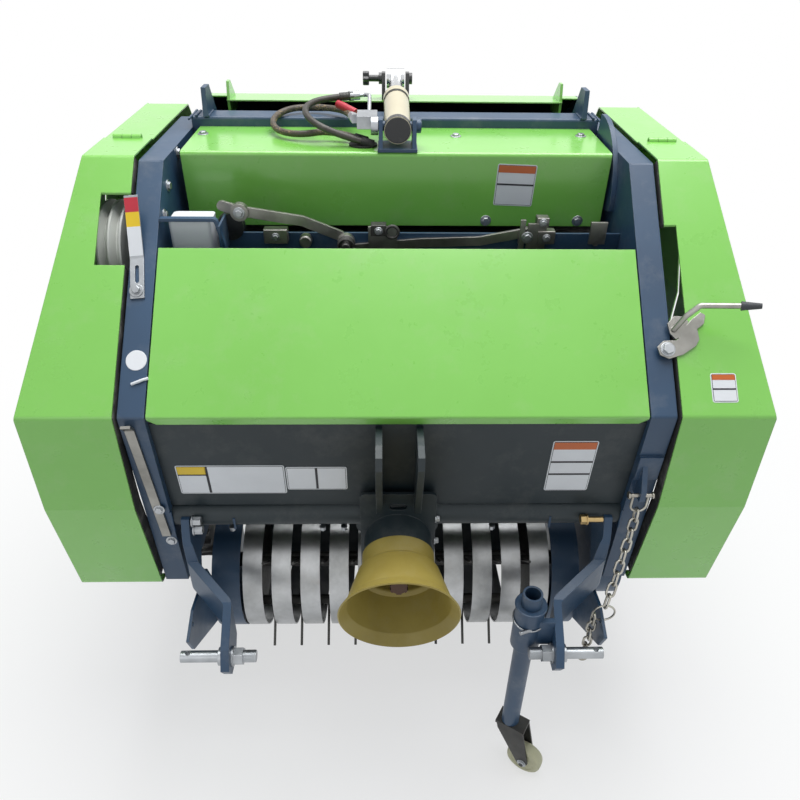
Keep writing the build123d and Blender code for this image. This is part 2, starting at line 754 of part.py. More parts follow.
def gate_lug():
    """Pair of ears on the tailgate's top for the rod's eye; their pins have outer heads only."""
    front = EYE_BACK - 24
    rear = EYE_BACK + 40
    outline = (
        (front, skin_top(front)),
        (EYE_BACK - 16, EYE_Z - 4),
        (EYE_BACK - 10, EYE_Z + 13),
        (EYE_BACK + 10, EYE_Z + 13),
        (EYE_BACK + 18, EYE_Z - 4),
        (rear, skin_top(rear)),
    )
    with BuildPart() as lug:
        for side, _ in SIDES:
            add(plate(side * 23, side * EAR_THICK, outline))
            add(rod_x(side * (23 + EAR_THICK), side * 7, EYE_BACK, EYE_Z, CYLINDER_PIN_RADIUS + 3))
        add(rod_x(-62, 62 - 23 - EAR_THICK, EYE_BACK, EYE_Z, 7))
    return lug.part


# Cylinder

def cylinder_bracket():
    """Base plate and two ears on the upper hood, with the barrel's pivot pin."""
    base_z = TOP_Z + 2
    half_gap = EAR_GAP / 2
    outline = (
        (CYLINDER_BACK - 32, base_z),
        (CYLINDER_BACK - 14, CYLINDER_Z + 14),
        (CYLINDER_BACK + 14, CYLINDER_Z + 14),
        (CYLINDER_BACK + 32, base_z),
    )
    with BuildPart() as bracket:
        with BuildSketch(Plane.XY.offset(base_z)):
            with Locations((0, back(CYLINDER_BACK))):
                Rectangle(EAR_GAP + 2 * EAR_THICK + 4, 64)
        extrude(amount=6)
        for side, _ in SIDES:
            add(plate(side * half_gap, side * EAR_THICK, outline))
        reach = half_gap + EAR_THICK + 10
        add(rod_x(-reach, 2 * reach, CYLINDER_BACK, CYLINDER_Z, CYLINDER_PIN_RADIUS))
        add(rod_x(half_gap + EAR_THICK, 9, CYLINDER_BACK, CYLINDER_Z, 13))
    return bracket.part


def cylinder_plane():
    """Plane across the cylinder at its pivot, its normal along the rod."""
    rise = math.atan2(EYE_Z - CYLINDER_Z, EYE_BACK - CYLINDER_BACK)
    return Plane(
        origin=(0, back(CYLINDER_BACK), CYLINDER_Z),
        x_dir=(1, 0, 0),
        z_dir=(0, math.cos(rise), math.sin(rise)),
    )


EYE_REACH = math.hypot(EYE_BACK - CYLINDER_BACK, EYE_Z - CYLINDER_Z)


def cylinder_barrel():
    plane = cylinder_plane()
    bore_depth = BARREL_LENGTH - BARREL_FLOOR
    with BuildPart() as barrel:
        with BuildSketch(plane.offset(-BARREL_FRONT)):
            Circle(BARREL_RADIUS)
        extrude(amount=BARREL_FRONT + BARREL_LENGTH)
        with BuildSketch(plane.offset(BARREL_LENGTH - 22)):
            Circle(BARREL_RADIUS + 1.5)
        extrude(amount=22)
        with BuildSketch(plane.offset(BARREL_LENGTH - bore_depth)):
            Circle(ROD_RADIUS + FIT)
        extrude(amount=bore_depth + 1, mode=Mode.SUBTRACT)
        half = BARREL_RADIUS + 1
        pin = rod_x(-half, 2 * half, CYLINDER_BACK, CYLINDER_Z, CYLINDER_PIN_RADIUS + FIT)
        add(pin, mode=Mode.SUBTRACT)
    return barrel.part


def cylinder_rod():
    """Rod and its eye, drawn out at rest; the eye stands between the tailgate's ears."""
    plane = cylinder_plane()
    with BuildPart() as rod:
        with BuildSketch(plane.offset(BARREL_LENGTH - ROD_INSIDE)):
            Circle(ROD_RADIUS)
        extrude(amount=EYE_REACH - BARREL_LENGTH + ROD_INSIDE)
        add(rod_x(-20, 40, EYE_BACK, EYE_Z, EYE_RADIUS))
        add(rod_x(-21, 42, EYE_BACK, EYE_Z, CYLINDER_PIN_RADIUS), mode=Mode.SUBTRACT)
    return rod.part


# Pickup

BAND_LINE = (
    (PICKUP_REAR_BACK - 17, REEL_Z + BAND_RADIUS + 20),
    (REEL_BACK, REEL_Z + BAND_RADIUS),
    (REEL_BACK, REEL_Z - BAND_RADIUS),
    (PICKUP_REAR_BACK - 30, REEL_Z - BAND_RADIUS - 17),
)


def band_strip(x, width):
    """A sheet strip that runs over the pickup's front in a half circle."""
    top_rear, top, bottom, bottom_rear = spots(BAND_LINE)
    with BuildPart() as strip:
        with BuildSketch(Plane.YZ.offset(x)):
            with BuildLine():
                Line(top_rear, top)
                ThreePointArc(top, spot(REEL_BACK - BAND_RADIUS, REEL_Z), bottom)
                Line(bottom, bottom_rear)
                offset(amount=SHEET, side=Side.LEFT)
            make_face()
        extrude(amount=width)
    return strip.part


def pickup_bands():
    """Bands round the reel, and the two bent strips that join them at the rear."""
    first = -BAND_PITCH * (BAND_COUNT - 1) / 2
    half = PICKUP_DRUM_X
    rear = PICKUP_REAR_BACK
    top = REEL_Z + BAND_RADIUS + 20
    low = REEL_Z - BAND_RADIUS - 17
    upper_strip = (
        (rear - 24, top - 0.5),
        (rear, top + 2),
        (rear, top - 38),
        (rear - 4, top - 38),
        (rear - 4, top - 4),
        (rear - 24, top - 6),
    )
    lower_strip = (
        (rear - 37, low + 0.5),
        (rear - 10, low - 2),
        (rear - 10, low + 37),
        (rear - 14, low + 37),
        (rear - 14, low + 4),
        (rear - 37, low + 6),
    )
    with BuildPart() as bands:
        for index in range(BAND_COUNT):
            add(band_strip(first + index * BAND_PITCH - BAND_WIDTH / 2, BAND_WIDTH))
        for table in (upper_strip, lower_strip):
            add(plate(-half, 2 * half, table))
    return bands.part


def pickup_side(side):
    """End drum, side plate, nose plate and carrying arm of the pickup, with its pivot on the frame."""
    rear = PICKUP_REAR_BACK
    pivot = (rear - 32, REEL_Z + 230)
    outline = (
        (REEL_BACK, REEL_Z + BAND_RADIUS),
        (rear - 17, REEL_Z + BAND_RADIUS + 20),
        (rear, REEL_Z + BAND_RADIUS + 22),
        (rear, REEL_Z - BAND_RADIUS - 19),
        (rear - 30, REEL_Z - BAND_RADIUS - 17),
        (REEL_BACK, REEL_Z - BAND_RADIUS),
    )
    arm = (
        (rear - 112, REEL_Z + 140),
        (rear - 52, REEL_Z + 255),
        (rear - 10, REEL_Z + 245),
        (rear, REEL_Z + 140),
    )
    nose = (
        (-118.0, PIN_Z),
        (-100.0, PIN_Z - 47),
        (60.0, REEL_Z - 47),
        (110.0, REEL_Z),
        (60.0, PIN_Z + 8),
        (-60.0, PIN_Z + 23),
    )
    outer = PICKUP_SIDE_X + PICKUP_SIDE_THICK
    with BuildPart() as wall:
        add(band_strip(side * PICKUP_DRUM_X, side * (PICKUP_SIDE_X - PICKUP_DRUM_X)))
        with BuildSketch(Plane.YZ.offset(side * PICKUP_SIDE_X)):
            with BuildLine():
                Polyline(*spots(outline))
                ThreePointArc(spot(*outline[-1]), spot(REEL_BACK - BAND_RADIUS, REEL_Z), spot(*outline[0]))
            make_face()
        extrude(amount=side * PICKUP_SIDE_THICK)
        add(plate(side * PICKUP_SIDE_X, side * PICKUP_SIDE_THICK, arm))
        add(plate(side * outer, side * PICKUP_SIDE_THICK, nose))
        hole = rod_x(side * (outer - 1), side * 9, RING_HOLE_BACK, RING_HOLE_Z, RING_HOLE_RADIUS)
        add(hole, mode=Mode.SUBTRACT)
        add(rod_x(side * PICKUP_SIDE_X, side * (FRAME_HALF - PICKUP_SIDE_X), *pivot, 15))
        bore = rod_x(side * (PICKUP_SIDE_X - 1), side * 8, REEL_BACK, REEL_Z, 17 + FIT)
        add(bore, mode=Mode.SUBTRACT)
    return wall.part


def pickup_reel():
    """Shaft, spiders, tine bars and tines, one tine in each gap between the bands."""
    half = PICKUP_SIDE_X + 6
    first = -BAND_PITCH * (BAND_COUNT - 2) / 2
    bar_half = PICKUP_DRUM_X - 12
    with BuildPart() as reel:
        add(rod_x(-half, 2 * half, REEL_BACK, REEL_Z, 17))
        for x in (-bar_half + 12, -4, bar_half - 20):
            add(rod_x(x, 8, REEL_BACK, REEL_Z, TINE_BAR_CIRCLE + 12))
        for bar in range(TINE_BARS):
            angle = 45 + bar * 360 / TINE_BARS
            centre = around(REEL_BACK, REEL_Z, TINE_BAR_CIRCLE, angle)
            add(rod_x(-bar_half, 2 * bar_half, *centre, 11))
            out = (0, math.cos(math.radians(angle)), math.sin(math.radians(angle)))
            for index in range(BAND_COUNT - 1):
                x = first + index * BAND_PITCH
                foot = Plane(origin=(x, *spot(*centre)), x_dir=(1, 0, 0), z_dir=out)
                with BuildSketch(foot):
                    Circle(TINE_RADIUS)
                extrude(amount=TINE_TIP - TINE_BAR_CIRCLE)
    return reel.part


def pickup_guard():
    """Rounded guard over the pickup's drive, outside the right side plate."""
    low = spot(REEL_BACK + 5, REEL_Z + 42)
    high = spot(REEL_BACK + 62, REEL_Z + 230)
    with BuildPart() as guard:
        with BuildSketch(Plane.YZ.offset(FRAME_HALF + PLATE)):
            with Locations(low):
                Circle(112)
            with Locations(high):
                Circle(62)
            make_hull()
        extrude(amount=70)
    return guard.part


# Wheels

def axle_beam():
    half = FRAME_HALF
    with BuildPart() as beam:
        with BuildSketch(Plane.YZ.offset(-half)):
            with Locations(spot(WHEEL_BACK, AXLE_BEAM_Z)):
                RectangleRounded(60, 60, 6)
                RectangleRounded(50, 50, 3, mode=Mode.SUBTRACT)
        extrude(amount=2 * half)
        for side, _ in SIDES:
            drop = (
                (WHEEL_BACK - 60, FRAME_FOOT_Z),
                (WHEEL_BACK + 60, FRAME_FOOT_Z),
                (WHEEL_BACK + 42, WHEEL_RADIUS - 20),
                (WHEEL_BACK + 20, WHEEL_RADIUS - 40),
                (WHEEL_BACK - 20, WHEEL_RADIUS - 40),
                (WHEEL_BACK - 42, WHEEL_RADIUS - 20),
            )
            add(plate(side * half, side * DROP_THICK, drop))
            reach = WHEEL_INNER_X + WHEEL_WIDTH - 10 - half
            shoulder = WHEEL_INNER_X - half - 1
            add(rod_x(side * half, side * reach, WHEEL_BACK, WHEEL_RADIUS, AXLE_RADIUS))
            add(rod_x(side * half, side * shoulder, WHEEL_BACK, WHEEL_RADIUS, AXLE_RADIUS + 8))
    return beam.part


def wheel_axis(x):
    return Axis((x, back(WHEEL_BACK), WHEEL_RADIUS), (1, 0, 0))


def tyre(side):
    half = WHEEL_WIDTH / 2
    middle = side * (WHEEL_INNER_X + half)
    bead = RIM_RADIUS
    tread = WHEEL_RADIUS
    section = (
        (-half + 10, bead),
        (-half, bead + 28),
        (-half + 2, tread - 32),
        (-half + 14, tread - 4),
        (0.0, tread),
        (half - 14, tread - 4),
        (half - 2, tread - 32),
        (half, bead + 28),
        (half - 10, bead),
    )
    plane = Plane(origin=(middle, back(WHEEL_BACK), WHEEL_RADIUS), x_dir=(1, 0, 0), z_dir=(0, -1, 0))
    with BuildPart() as ring:
        with BuildSketch(plane):
            with BuildLine():
                Polyline(*section, close=True)
            make_face()
        revolve(axis=wheel_axis(middle))
    return ring.part


def rim(side):
    half = WHEEL_WIDTH / 2
    middle = side * (WHEEL_INNER_X + half)
    bead = RIM_RADIUS
    bore = AXLE_RADIUS + FIT
    section = (
        (-half + 10, bead),
        (-half + 10, bead - 10),
        (-half + 22, bead - 20),
        (-4.0, bead - 20),
        (-4.0, 36.0),
        (-half + 2, 34.0),
        (-half + 2, bore),
        (half - 14, bore),
        (half - 14, 34.0),
        (4.0, 36.0),
        (4.0, bead - 20),
        (half - 22, bead - 20),
        (half - 10, bead - 10),
        (half - 10, bead),
    )
    plane = Plane(origin=(middle, back(WHEEL_BACK), WHEEL_RADIUS), x_dir=(1, 0, 0), z_dir=(0, -1, 0))
    with BuildPart() as disc:
        with BuildSketch(plane):
            with BuildLine():
                Polyline(*section, close=True)
            make_face()
        revolve(axis=wheel_axis(middle))
    return disc.part


# Jack and castor

def upright(x, distance, low, high, radius):
    with BuildPart() as post:
        with BuildSketch(Plane.XY.offset(low)):
            with Locations((x, back(distance))):
                Circle(radius)
        extrude(amount=high - low)
    return post.part


def jack_sleeve():
    inner_face = ARM_PIN_RIGHT_X - ARM_THICK / 2
    with BuildPart() as sleeve:
        add(upright(JACK_X, JACK_BACK, SLEEVE_BASE_Z, SLEEVE_TOP_Z, SLEEVE_RADIUS))
        with BuildSketch(Plane.XZ.offset(-back(JACK_BACK - 12))):
            with Locations(((JACK_X + inner_face) / 2, PIN_Z + 35)):
                Rectangle(inner_face - JACK_X, 64)
        extrude(amount=12)
        bore = upright(JACK_X, JACK_BACK, SLEEVE_BASE_Z - 1, SLEEVE_TOP_Z + 1, LEG_RADIUS + FIT)
        add(bore, mode=Mode.SUBTRACT)
    return sleeve.part


def jack_leg():
    with BuildPart() as leg:
        add(upright(JACK_X, JACK_BACK, LEG_BASE_Z, LEG_TOP_Z, LEG_RADIUS))
        hollow = upright(JACK_X, JACK_BACK, LEG_BASE_Z + 40, LEG_TOP_Z + 1, LEG_RADIUS - LEG_WALL)
        add(hollow, mode=Mode.SUBTRACT)
        stem = upright(JACK_X, JACK_BACK, LEG_BASE_Z - 1, LEG_BASE_Z + 32, 8 + FIT)
        add(stem, mode=Mode.SUBTRACT)
    return leg.part


def castor_plane(height, x_along=True):
    """Plane through the castor with its x along the trail and its normal up or sideways."""
    turn = math.radians(CASTOR_HEADING)
    along = (math.cos(turn), math.sin(turn), 0)
    across = (math.sin(turn), -math.cos(turn), 0)
    normal = (0, 0, 1) if x_along else across
    return Plane(origin=(JACK_X, back(JACK_BACK), height), x_dir=along, z_dir=normal)


def castor_fork():
    half = CASTOR_WIDTH / 2 + 1.5
    cheek = (
        (-24, LEG_BASE_Z - 5),
        (38, LEG_BASE_Z - 5),
        (CASTOR_TRAIL + 13, CASTOR_RADIUS + 4),
        (CASTOR_TRAIL + 4, CASTOR_RADIUS - 12),
        (CASTOR_TRAIL - 12, CASTOR_RADIUS - 6),
        (-20, LEG_BASE_Z - 22),
    )
    with BuildPart() as fork:
        with BuildSketch(castor_plane(LEG_BASE_Z - 8)):
            with Locations((6, 0)):
                Rectangle(66, 2 * half + 8)
        extrude(amount=7.7)
        with BuildSketch(castor_plane(0, x_along=False)):
            with BuildLine():
                Polyline(*cheek, close=True)
            make_face()
        extrude(amount=half + 4, both=True)
        with BuildSketch(castor_plane(0, x_along=False)):
            with Locations((30, 60)):
                Rectangle(160, 2 * (LEG_BASE_Z - 8 - 60))
        extrude(amount=half, both=True, mode=Mode.SUBTRACT)
        add(upright(JACK_X, JACK_BACK, LEG_BASE_Z - 1, LEG_BASE_Z + 30, 8))
        with BuildSketch(castor_plane(0, x_along=False)):
            with Locations((CASTOR_TRAIL, CASTOR_RADIUS)):
                Circle(5)
        extrude(amount=half + 10, both=True)
    return fork.part


def castor_wheel():
    with BuildPart() as wheel:
        with BuildSketch(castor_plane(0, x_along=False)):
            with Locations((CASTOR_TRAIL, CASTOR_RADIUS)):
                Circle(CASTOR_RADIUS)
                Circle(5 + FIT, mode=Mode.SUBTRACT)
        extrude(amount=CASTOR_WIDTH / 2, both=True)
    return wheel.part


# Side covers

COVER_LINE = (
    (COVER_HINGE_BACK - 3.0, COVER_TOP_Z),
    (BEND_BACK - 2, COVER_TOP_Z),
    (-3.0, CREASE_Z + 3),
    (-11.0, CREASE_Z - 200),
    (20.0, COVER_BASE_Z),
    (46.0, COVER_BASE_Z - 4),
)


def knuckle(x, width, radius=KNUCKLE_RADIUS):
    return rod_x(x, width, COVER_HINGE_BACK, COVER_HINGE_Z, radius)


def cover_room(side, inset):
    """Space between the side frame and a cover's outer side, less an inset."""
    lean = (COVER_WIDTH - COVER_TOP_WIDTH) / (COVER_TOP_Z - CREASE_Z)
    low = FRAME_FOOT_Z - 60
    high = COVER_TOP_Z + 40
    outer = COVER_OUTER - inset
    outer_high = outer - lean * (high - CREASE_Z)
    with BuildPart() as room:
        with BuildSketch(Plane.XZ.offset(-back(-60))):
            with BuildLine():
                Polyline(
                    (side * FRAME_HALF, low),
                    (side * outer, low),
                    (side * outer, CREASE_Z),
                    (side * outer_high, high),
                    (side * FRAME_HALF, high),
                    close=True,
                )
            make_face()
        extrude(amount=-(COVER_REAR_BACK + 120))
    return room.part


def outer_panel(side, outline):
    """Sheet panel on the outer side of a cover, upright below the crease and leaning above."""
    with BuildPart() as panel:
        add(plate(side * COVER_INNER, side * COVER_WIDTH, outline))
        add(cover_room(side, 0), mode=Mode.INTERSECT)
        add(cover_room(side, SHEET), mode=Mode.SUBTRACT)
    return panel.part


def cover_door(side):
    foot = COVER_BASE_Z + 8
    rear = COVER_HINGE_BACK - 9.5
    outline = COVER_LINE[:5] + ((rear, foot), (rear, TOP_Z))
    if side < 0:
        window = (54.0, BEND_BACK - 164, BEND_BACK - 59)
    else:
        window = (22.0, BEND_BACK - 240, BEND_BACK - 103)
    reach, front, end = window
    with BuildPart() as cover:
        add(folded_sheet(side * COVER_INNER, side * COVER_WIDTH, COVER_LINE, SHEET, bend=9))
        add(cover_room(side, 0), mode=Mode.INTERSECT)
        add(outer_panel(side, outline))
        with BuildSketch(Plane.XY.offset(CREASE_Z + 60)):
            with Locations((side * (COVER_INNER + reach / 2 - 0.5), back((front + end) / 2))):
                Rectangle(reach + 1, end - front)
        extrude(amount=TOP_Z - CREASE_Z, mode=Mode.SUBTRACT)
        gap = knuckle(side * (KNUCKLE_X + KNUCKLE_WIDTH), side * (KNUCKLE_WIDTH + 1), KNUCKLE_RADIUS + 0.5)
        add(gap, mode=Mode.SUBTRACT)
        for x in (KNUCKLE_X, KNUCKLE_X + 2 * KNUCKLE_WIDTH + 1):
            add(knuckle(side * x, side * KNUCKLE_WIDTH))
        bore = knuckle(side * (KNUCKLE_X - 1), side * (3 * KNUCKLE_WIDTH + 4), KNUCKLE_PIN + FIT)
        add(bore, mode=Mode.SUBTRACT)
    return cover.part


def cover_rear(side):
    front = COVER_HINGE_BACK + 3.0
    foot = COVER_BASE_Z + 8
    line = (
        (front, COVER_TOP_Z),
        (SPLIT_BACK + 100, COVER_TOP_Z),
        (COVER_REAR_BACK, COVER_TOP_Z - 134),
        (COVER_REAR_BACK, foot + 90),
        (COVER_REAR_BACK - 80, foot),
    )
    high_stay = (
        (front + 50, COVER_TOP_Z - 34),
        (front + 80, COVER_TOP_Z - 34),
        (front + 80, COVER_TOP_Z - 64),
        (front + 50, COVER_TOP_Z - 64),
    )
    low_stay = (
        (SPLIT_BACK - 90, foot + 120),
        (SPLIT_BACK - 60, foot + 120),
        (SPLIT_BACK - 60, foot + 90),
        (SPLIT_BACK - 90, foot + 90),
    )
    reach = COVER_OUTER - FRAME_HALF - PLATE
    with BuildPart() as cover:
        add(folded_sheet(side * COVER_INNER, side * COVER_WIDTH, line, SHEET, bend=12))
        for table in (high_stay, low_stay):
            add(plate(side * (FRAME_HALF + PLATE), side * reach, table))
        add(cover_room(side, SHEET / 2), mode=Mode.INTERSECT)
        add(outer_panel(side, line + ((front, foot),)))
        for x in (KNUCKLE_X - 0.5, KNUCKLE_X + 2 * KNUCKLE_WIDTH + 0.5):
            gap = knuckle(side * x, side * (KNUCKLE_WIDTH + 1), KNUCKLE_RADIUS + 0.5)
            add(gap, mode=Mode.SUBTRACT)
        add(knuckle(side * (KNUCKLE_X + KNUCKLE_WIDTH + 0.5), side * KNUCKLE_WIDTH))
        add(knuckle(side * (KNUCKLE_X + 1), side * 3 * KNUCKLE_WIDTH, KNUCKLE_PIN))
    return cover.part


# Twine gear and small parts

def v_pulley():
    """Double-groove belt pulley behind the left cover's window, on its shaft."""
    plane = Plane(origin=(0, back(PULLEY_BACK), PULLEY_Z), x_dir=(1, 0, 0), z_dir=(0, -1, 0))
    rimmed = PULLEY_RADIUS
    x = -PULLEY_X
    section = (
        (x, 0.0),
        (x, rimmed),
        (x - 4, rimmed),
        (x - 11, rimmed - 14),
        (x - 14, rimmed - 14),
        (x - 21, rimmed),
        (x - 25, rimmed),
        (x - 32, rimmed - 14),
        (x - 35, rimmed - 14),
        (x - 42, rimmed),
        (x - PULLEY_WIDTH, rimmed),
        (x - PULLEY_WIDTH, rimmed - 20),
        (x - PULLEY_WIDTH + 14, rimmed - 26),
        (x - PULLEY_WIDTH + 14, 30.0),
        (x - PULLEY_WIDTH - 4, 26.0),
        (x - PULLEY_WIDTH - 4, 0.0),
    )
    with BuildPart() as pulley:
        with BuildSketch(plane):
            with BuildLine():
                Polyline(*section, close=True)
            make_face()
        revolve(axis=Axis((0, back(PULLEY_BACK), PULLEY_Z), (1, 0, 0)))
        add(rod_x(-(FRAME_HALF + PLATE), -(PULLEY_X - FRAME_HALF - PLATE + 4), PULLEY_BACK, PULLEY_Z, 13))
    return pulley.part


def twine_guard():
    """Bent strip and curved shield round the twine box."""
    front = RAIL_BACK - 64
    with BuildPart() as guard:
        with BuildSketch(Plane.XZ.offset(-back(front))):
            with BuildLine():
                FilletPolyline(
                    (3.2 - FRAME_HALF, RAIL_Z + 88),
                    (102 - FRAME_HALF, RAIL_Z + 88),
                    (112 - FRAME_HALF, RAIL_Z + 40),
                    radius=6,
                )
                offset(amount=3, side=Side.BOTH)
            make_face()
        extrude(amount=-12)
        with BuildSketch(Plane.XY.offset(RAIL_Z + 18)):
            with Locations((108 - FRAME_HALF, back(RAIL_BACK - 34))):
                Rectangle(4, 66)
        extrude(amount=60)
    return guard.part


def twine_rail():
    outline = (
        (RAIL_BACK, RAIL_Z),
        (RAIL_BACK + 40, RAIL_Z),
        (RAIL_BACK + 40, RAIL_Z + 5),
        (RAIL_BACK + 5, RAIL_Z + 5),
        (RAIL_BACK + 5, RAIL_Z + 40),
        (RAIL_BACK, RAIL_Z + 40),
    )
    with BuildPart() as rail:
        add(plate(-FRAME_HALF, 2 * FRAME_HALF, outline))
        add(twine_guard())
    return rail.part


def twine_box():
    with BuildPart() as box:
        with BuildSketch(Plane.XY.offset(RAIL_Z)):
            with Locations((52 - FRAME_HALF, back(RAIL_BACK - 28))):
                RectangleRounded(78, 56, 8)
        extrude(amount=82)
    return box.part


def flat_bar(points, width, thickness, plane):
    """A flat bar along a polyline in the plane given."""
    with BuildPart() as bar:
        with BuildSketch(plane):
            with BuildLine():
                FilletPolyline(*points, radius=width)
                offset(amount=width / 2, side=Side.BOTH)
            make_face()
        extrude(amount=thickness)
    return bar.part


TWINE_PLATES = (
    (240.0, 10.0, 42.0, 64.0),
    (268.0, 36.0, 42.0, 50.0),
    (387.0, 32.0, 48.0, 44.0),
    (-29.0, 56.0, 38.0, 44.0),
)


def twine_arms():
    """Two cranked arms before the rail, their pivots, and the small plates they work against."""
    plane = Plane.XZ.offset(-back(RAIL_BACK))
    left = ((-332, RAIL_Z + 94), (-300, RAIL_Z + 84), (-182, RAIL_Z + 65), (-112, RAIL_Z + 36))
    right = ((-84, RAIL_Z + 10), (44, RAIL_Z + 22), (160, RAIL_Z + 26), (267, RAIL_Z + 47))
    with BuildPart() as arms:
        add(flat_bar(left, 20, 6, plane))
        add(flat_bar(right, 18, 6, plane))
        for x, rise, radius in ((-100, 24, 17), (-300, 84, 17), (250, 40, 15)):
            with BuildSketch(plane):
                with Locations((x, RAIL_Z + rise)):
                    Circle(radius)
            extrude(amount=14)
        for x, width, rise, height in TWINE_PLATES:
            with BuildSketch(plane.offset(14)):
                with Locations((x, RAIL_Z + rise)):
                    Rectangle(width, height)
            extrude(amount=5)
            with BuildSketch(plane):
                with Locations((x, RAIL_Z + 30)):
                    Rectangle(8, 18)
            extrude(amount=15)
    return arms.part


def crescent_plate():
    """Curved plate between the upper hood's right end and the right side plate."""
    inner = UPPER_HALF + 7.0
    bend = BEND_BACK
    low_front = spot(bend + 39, TOP_Z - 108)
    high_front = spot(bend + 195, TOP_Z + 44)
    high_rear = spot(bend + 201, TOP_Z + 4)
    low_rear = spot(bend + 75, TOP_Z - 116)
    with BuildPart() as crescent:
        with BuildSketch(Plane.YZ.offset(inner)):
            with BuildLine():
                ThreePointArc(low_front, spot(bend + 90, TOP_Z + 12), high_front)
                Line(high_front, high_rear)
                ThreePointArc(high_rear, spot(bend + 113, TOP_Z - 23), low_rear)
                Line(low_rear, low_front)
            make_face()
        extrude(amount=FRAME_HALF - inner)
    return crescent.part


# Small gear on the posts and covers

def cover_plane():
    """Outer face of the right cover's slope: x to the right, y up the slope, from the crease."""
    slope = math.atan2(COVER_TOP_Z - CREASE_Z - 3, BEND_BACK + 1)
    return Plane(
        origin=(0, back(-3), CREASE_Z + 3),
        x_dir=(1, 0, 0),
        z_dir=(0, -math.sin(slope), math.cos(slope)),
    ).offset(SHEET)


def latch_lever():
    """Latch plate on the right cover with its hook, and the bent rod that turns it."""
    x = LATCH_BOLT_X
    arm = (
        (x - 17, 125),
        (x - 13, 110),
        (x + 2, 103),
        (x + 28, 111),
        (x + 52, 127),
        (x + 59, 139),
        (x + 57, 158),
        (x + 70, 168),
        (x + 74, 184),
        (x + 66, 189),
        (x + 49, 176),
        (x + 32, 159),
        (x + 29, 146),
        (x + 18, 137),
        (x - 5, 136),
    )
    hook = (
        (x + 17, 139),
        (x + 8, 150),
        (x + 5, 168),
        (x + 18, 182),
        (x + 34, 181),
        (x + 43, 172),
        (x + 33, 158),
        (x + 30, 145),
    )
    plane = cover_plane()
    base = plane.from_local_coords((x + 15, 156, LATCH_THICK - 1))
    knee = plane.from_local_coords((x + 27, 172, 30))
    bend = plane.from_local_coords((x + 47, 186, 46))
    end = plane.from_local_coords((x + 107, 178, 66))
    with BuildPart() as lever:
        for outline in (arm, hook):
            with BuildSketch(plane):
                with BuildLine():
                    Polyline(*outline, close=True)
                make_face()
            extrude(amount=LATCH_THICK)
        with BuildLine():
            route = FilletPolyline(base, knee, bend, end, radius=10)
        with BuildSketch(Plane(origin=base, z_dir=route % 0)):
            Circle(LATCH_ROD_RADIUS)
        sweep(path=route)
    return lever.part


def latch_grip():
    """Soft grip on the end of the latch's rod."""
    plane = cover_plane()
    start = plane.from_local_coords((LATCH_BOLT_X + 107, 178, 66))
    end = plane.from_local_coords((LATCH_BOLT_X + 137, 174, 76))
    with BuildPart() as grip:
        with BuildSketch(Plane(origin=start, z_dir=end - start)):
            Circle(GRIP_RADIUS)
        extrude(amount=(end - start).length, taper=6)
    return grip.part


def indicator_bar():
    """Bent flat bar on the left post, its foot slotted and its head standing off the slope."""
    foot = 161.0
    bend = 218.0
    slope = math.degrees(math.atan2(TOP_Z - CREASE_Z, BEND_BACK))
    line = (
        (foot, on_slope(foot)),
        (bend, on_slope(bend)),
        (bend + 61, on_slope(bend) + 95),
    )
    pivot = (INDICATOR_X - INDICATOR_WIDTH / 2, back(foot), on_slope(foot))
    with BuildPart() as bar:
        add(folded_sheet(INDICATOR_X, -INDICATOR_WIDTH, line, 4, side_of_line=Side.LEFT, bend=6))
        face = Plane(
            origin=pivot,
            x_dir=(1, 0, 0),
            z_dir=(0, -math.sin(math.radians(slope)), math.cos(math.radians(slope))),
        )
        with BuildSketch(face.offset(-20)):
            with Locations((0, 46)):
                SlotOverall(34, 7, rotation=90)
        extrude(amount=40, mode=Mode.SUBTRACT)
    return bar.part.rotate(Axis(pivot, face.z_dir), 5)


def side_lever():
    """Flat bar down the left post's lower face, its top end bent clear of the crease."""
    low_z = CREASE_Z - 297
    high_z = CREASE_Z - 22
    line = (
        (flange_face(low_z), low_z),
        (flange_face(high_z), high_z),
        (flange_face(high_z) - 13, high_z + 15),
    )
    pivot = (LEVER_X, back(flange_face(low_z)), low_z)
    with BuildPart() as lever:
        add(folded_sheet(LEVER_X + LEVER_WIDTH / 2, -LEVER_WIDTH, line, 5, side_of_line=Side.LEFT, bend=6))
    face = POST_FOOT_BACK / (CREASE_Z - POST_FOOT_Z)
    return lever.part.rotate(Axis(pivot, (0, -1, -face)), 2.5)


# Hydraulic hoses

def hose_points(table):
    """Route of a hose from its X, distance behind the upper hood's face, height over the posts' top."""
    return [(x, back(UPPER_FRONT_BACK + distance), TOP_Z + height) for x, distance, height in table]


def hose(table, name):
    points = [Vector(*point) for point in hose_points(table)]
    runs = [after - before for before, after in zip(points, points[1:])]
    radii = []
    for first, second in zip(runs, runs[1:]):
        half_turn = math.radians(first.get_angle(second)) / 2
        radii.append(0.45 * min(first.length, second.length) / math.tan(half_turn))
    with BuildPart() as tube:
        with BuildLine():
            route = FilletPolyline(*points, radius=radii)
        with BuildSketch(Plane(origin=points[0], z_dir=runs[0])):
            Circle(HOSE_RADIUS)
        sweep(path=route)
    section = math.pi * HOSE_RADIUS ** 2
    print(name, "radii", [round(radius, 1) for radius in radii])
    length = route.length
    print(name, "length", round(length, 1), "volume share", round(tube.part.volume / section / length, 4))
    return tube.part


